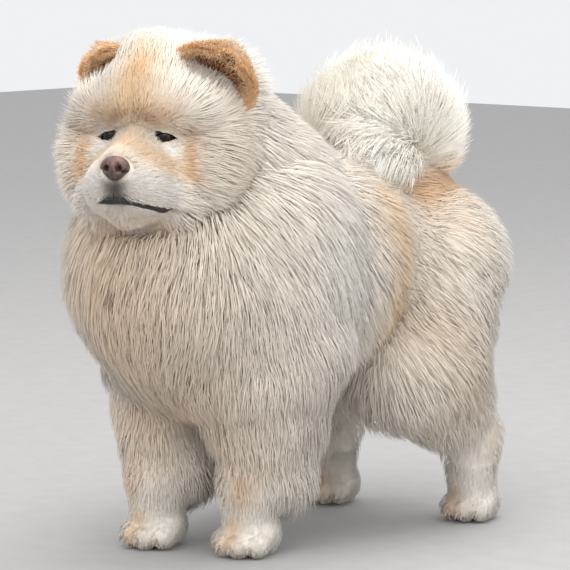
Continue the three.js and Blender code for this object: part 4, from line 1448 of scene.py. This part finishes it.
def claw(root, size):
    """A tube that arches over by half a sine and narrows to a blunt tip."""
    rows, segments = CLAW_GRID
    t = np.linspace(0, 1, rows)
    arch = np.array((0, -1.5, 2.0)) * np.sin(math.pi * t)[:, None]
    line = root + np.array((0.0, -8.0, -8.0)) * t[:, None] + arch
    return tube(line, 2.2 * size * np.sqrt(np.maximum(1 - t**1.6, 1e-4)), segments, 1.15)


class CHOW_OT_claws(bpy.types.Operator):
    """Makes the short blunt claws, one to each toe"""

    bl_idname = "chow.claws"
    bl_label = "Claws"

    def execute(self, context):
        horn = speckled("horn", paint(150, 132, 116), paint(205, 190, 172), 500, 0.45, 0.1)
        tubes = []
        for name, (x, y) in FEET.items():
            wide = PAW_WIDTH[name[:4]]
            long = PAW_LENGTH[name[:4]]
            for share_x, share_y, size in TOES:
                ahead = share_y * long - 0.19 * wide * size
                tubes.append(claw(np.array((x + share_x * wide, y + ahead, 15.0)), size))
        obj = joined("claws", tubes)
        outward(obj)
        finished(obj, horn, "nose")
        return {"FINISHED"}


def whisker(side, rng):
    """A thin tube from a place on the muzzle, out to its side, that sinks with the square of its length."""
    rows, segments = WHISKER_GRID
    root = np.array((side * (20 + 20 * rng.random()), -128 + 24 * rng.random(), -50 - 12 * rng.random()))
    start = from_head((side * 14, -90, -52))
    hit = march(SKINS["head"], start[None], unit(from_head(root) - start)[None], FINE_STEP)[0]
    way = np.array((side * 1.0, 0.25 + 0.4 * rng.random(), -0.3 * rng.random()))
    t = np.linspace(0, 1, rows)[:, None]
    long = 26 + 16 * rng.random()
    line = hit + unit(turned(way, "z", HEAD_TURN)) * t * long + np.array((0, 0, -7.0)) * t**2
    return tube(line, 0.22 * (1 - 0.8 * t[:, 0]), segments)


class CHOW_OT_whiskers(bpy.types.Operator):
    """Sets a few fine whiskers on the muzzle"""

    bl_idname = "chow.whiskers"
    bl_label = "Whiskers"

    def execute(self, context):
        hair = speckled("whisker", paint(205, 200, 192), paint(238, 234, 228), 100, 0.5, 0)
        rng = np.random.default_rng(WHISKER_SEED)
        tubes = [whisker(side, rng) for side in (1, -1) for _ in range(12)]
        finished(joined("whiskers", tubes), hair, "white_coat")
        return {"FINISHED"}


class CHOW_OT_stage(bpy.types.Operator):
    """Sets the floor, the lights and the camera"""

    bl_idname = "chow.stage"
    bl_label = "Stage"

    def execute(self, context):
        bpy.ops.mesh.primitive_plane_add(size=14, location=(0, 0, 0))
        floor = context.object
        floor.name = "floor"
        tone = np.array(context.scene.chow_colours.floor)
        floor.data.materials.append(speckled("floor", tone * 0.97, tone * 1.03, 30, 0.8, 0))
        world = bpy.data.worlds.new("studio")
        context.scene.world = world
        world.use_nodes = True
        world.node_tree.nodes["Background"].inputs["Color"].default_value = (0.95, 0.96, 0.98, 1)
        world.node_tree.nodes["Background"].inputs["Strength"].default_value = 0.92
        for title, place, size, power in (
            ("key", (1.0, -2.2, 3.2), 3.4, 72),
            ("sky", (0.3, 0.6, 3.6), 3.0, 70),
            ("fill", (3.4, -1.0, 1.4), 2.4, 22),
        ):
            light = bpy.data.lights.new(title, "AREA")
            light.energy = power
            light.size = size
            lamp = bpy.data.objects.new(title, light)
            context.collection.objects.link(lamp)
            lamp.location = place
            aim = np.array((0, 0, 0.35)) - np.array(place)
            yaw = math.atan2(aim[0], -aim[1])
            pitch = math.atan2(math.hypot(aim[0], aim[1]), -aim[2])
            lamp.rotation_euler = (pitch, 0, yaw + math.pi)
        lens = bpy.data.cameras.new("camera")
        lens.lens = context.scene.chow_sizes.lens
        lens.sensor_width = 36
        lens.clip_end = 50
        camera = bpy.data.objects.new("camera", lens)
        context.collection.objects.link(camera)
        azimuth = math.radians(CAMERA_AZIMUTH)
        right = np.array((math.cos(azimuth), math.sin(azimuth), 0))
        ahead = np.array((-math.sin(azimuth), math.cos(azimuth), 0))
        height = np.array((0, 0, CAMERA_HEIGHT))
        camera.location = height - CAMERA_LEFT * right - CAMERA_DISTANCE * ahead + SHIFT / 1000
        camera.rotation_euler = (math.radians(90 - CAMERA_DOWN), 0, azimuth)
        context.scene.camera = camera
        context.scene.view_settings.view_transform = "Standard"
        return {"FINISHED"}


class CHOW_PT_panel(bpy.types.Panel):
    """Lists the pieces of the dog in the sidebar"""

    bl_idname = "CHOW_PT_panel"
    bl_label = "Chow"
    bl_space_type = "VIEW_3D"
    bl_region_type = "UI"
    bl_category = "Chow"

    def draw(self, context):
        for group in (context.scene.chow_sizes, context.scene.chow_colours):
            for name in group.__annotations__:
                self.layout.prop(group, name)
        for operator in OPERATORS:
            self.layout.operator(operator.bl_idname)


OPERATORS = (
    CHOW_OT_skin,
    CHOW_OT_body_coat,
    CHOW_OT_head_coat,
    CHOW_OT_ears,
    CHOW_OT_eyes,
    CHOW_OT_nose,
    CHOW_OT_mouth,
    CHOW_OT_claws,
    CHOW_OT_whiskers,
    CHOW_OT_stage,
)
CLASSES = (ChowSizes, ChowColours, *OPERATORS, CHOW_PT_panel)


def register():
    for one in CLASSES:
        bpy.utils.register_class(one)
    bpy.types.Scene.chow_sizes = PointerProperty(type=ChowSizes)
    bpy.types.Scene.chow_colours = PointerProperty(type=ChowColours)


def unregister():
    del bpy.types.Scene.chow_colours
    del bpy.types.Scene.chow_sizes
    for one in reversed(CLASSES):
        bpy.utils.unregister_class(one)


def main():
    register()
    bpy.ops.chow.skin()
    bpy.ops.chow.body_coat()
    bpy.ops.chow.head_coat()
    bpy.ops.chow.ears()
    bpy.ops.chow.eyes()
    bpy.ops.chow.nose()
    bpy.ops.chow.mouth()
    bpy.ops.chow.claws()
    bpy.ops.chow.whiskers()
    bpy.ops.chow.stage()


if __name__ == "__main__":
    main()
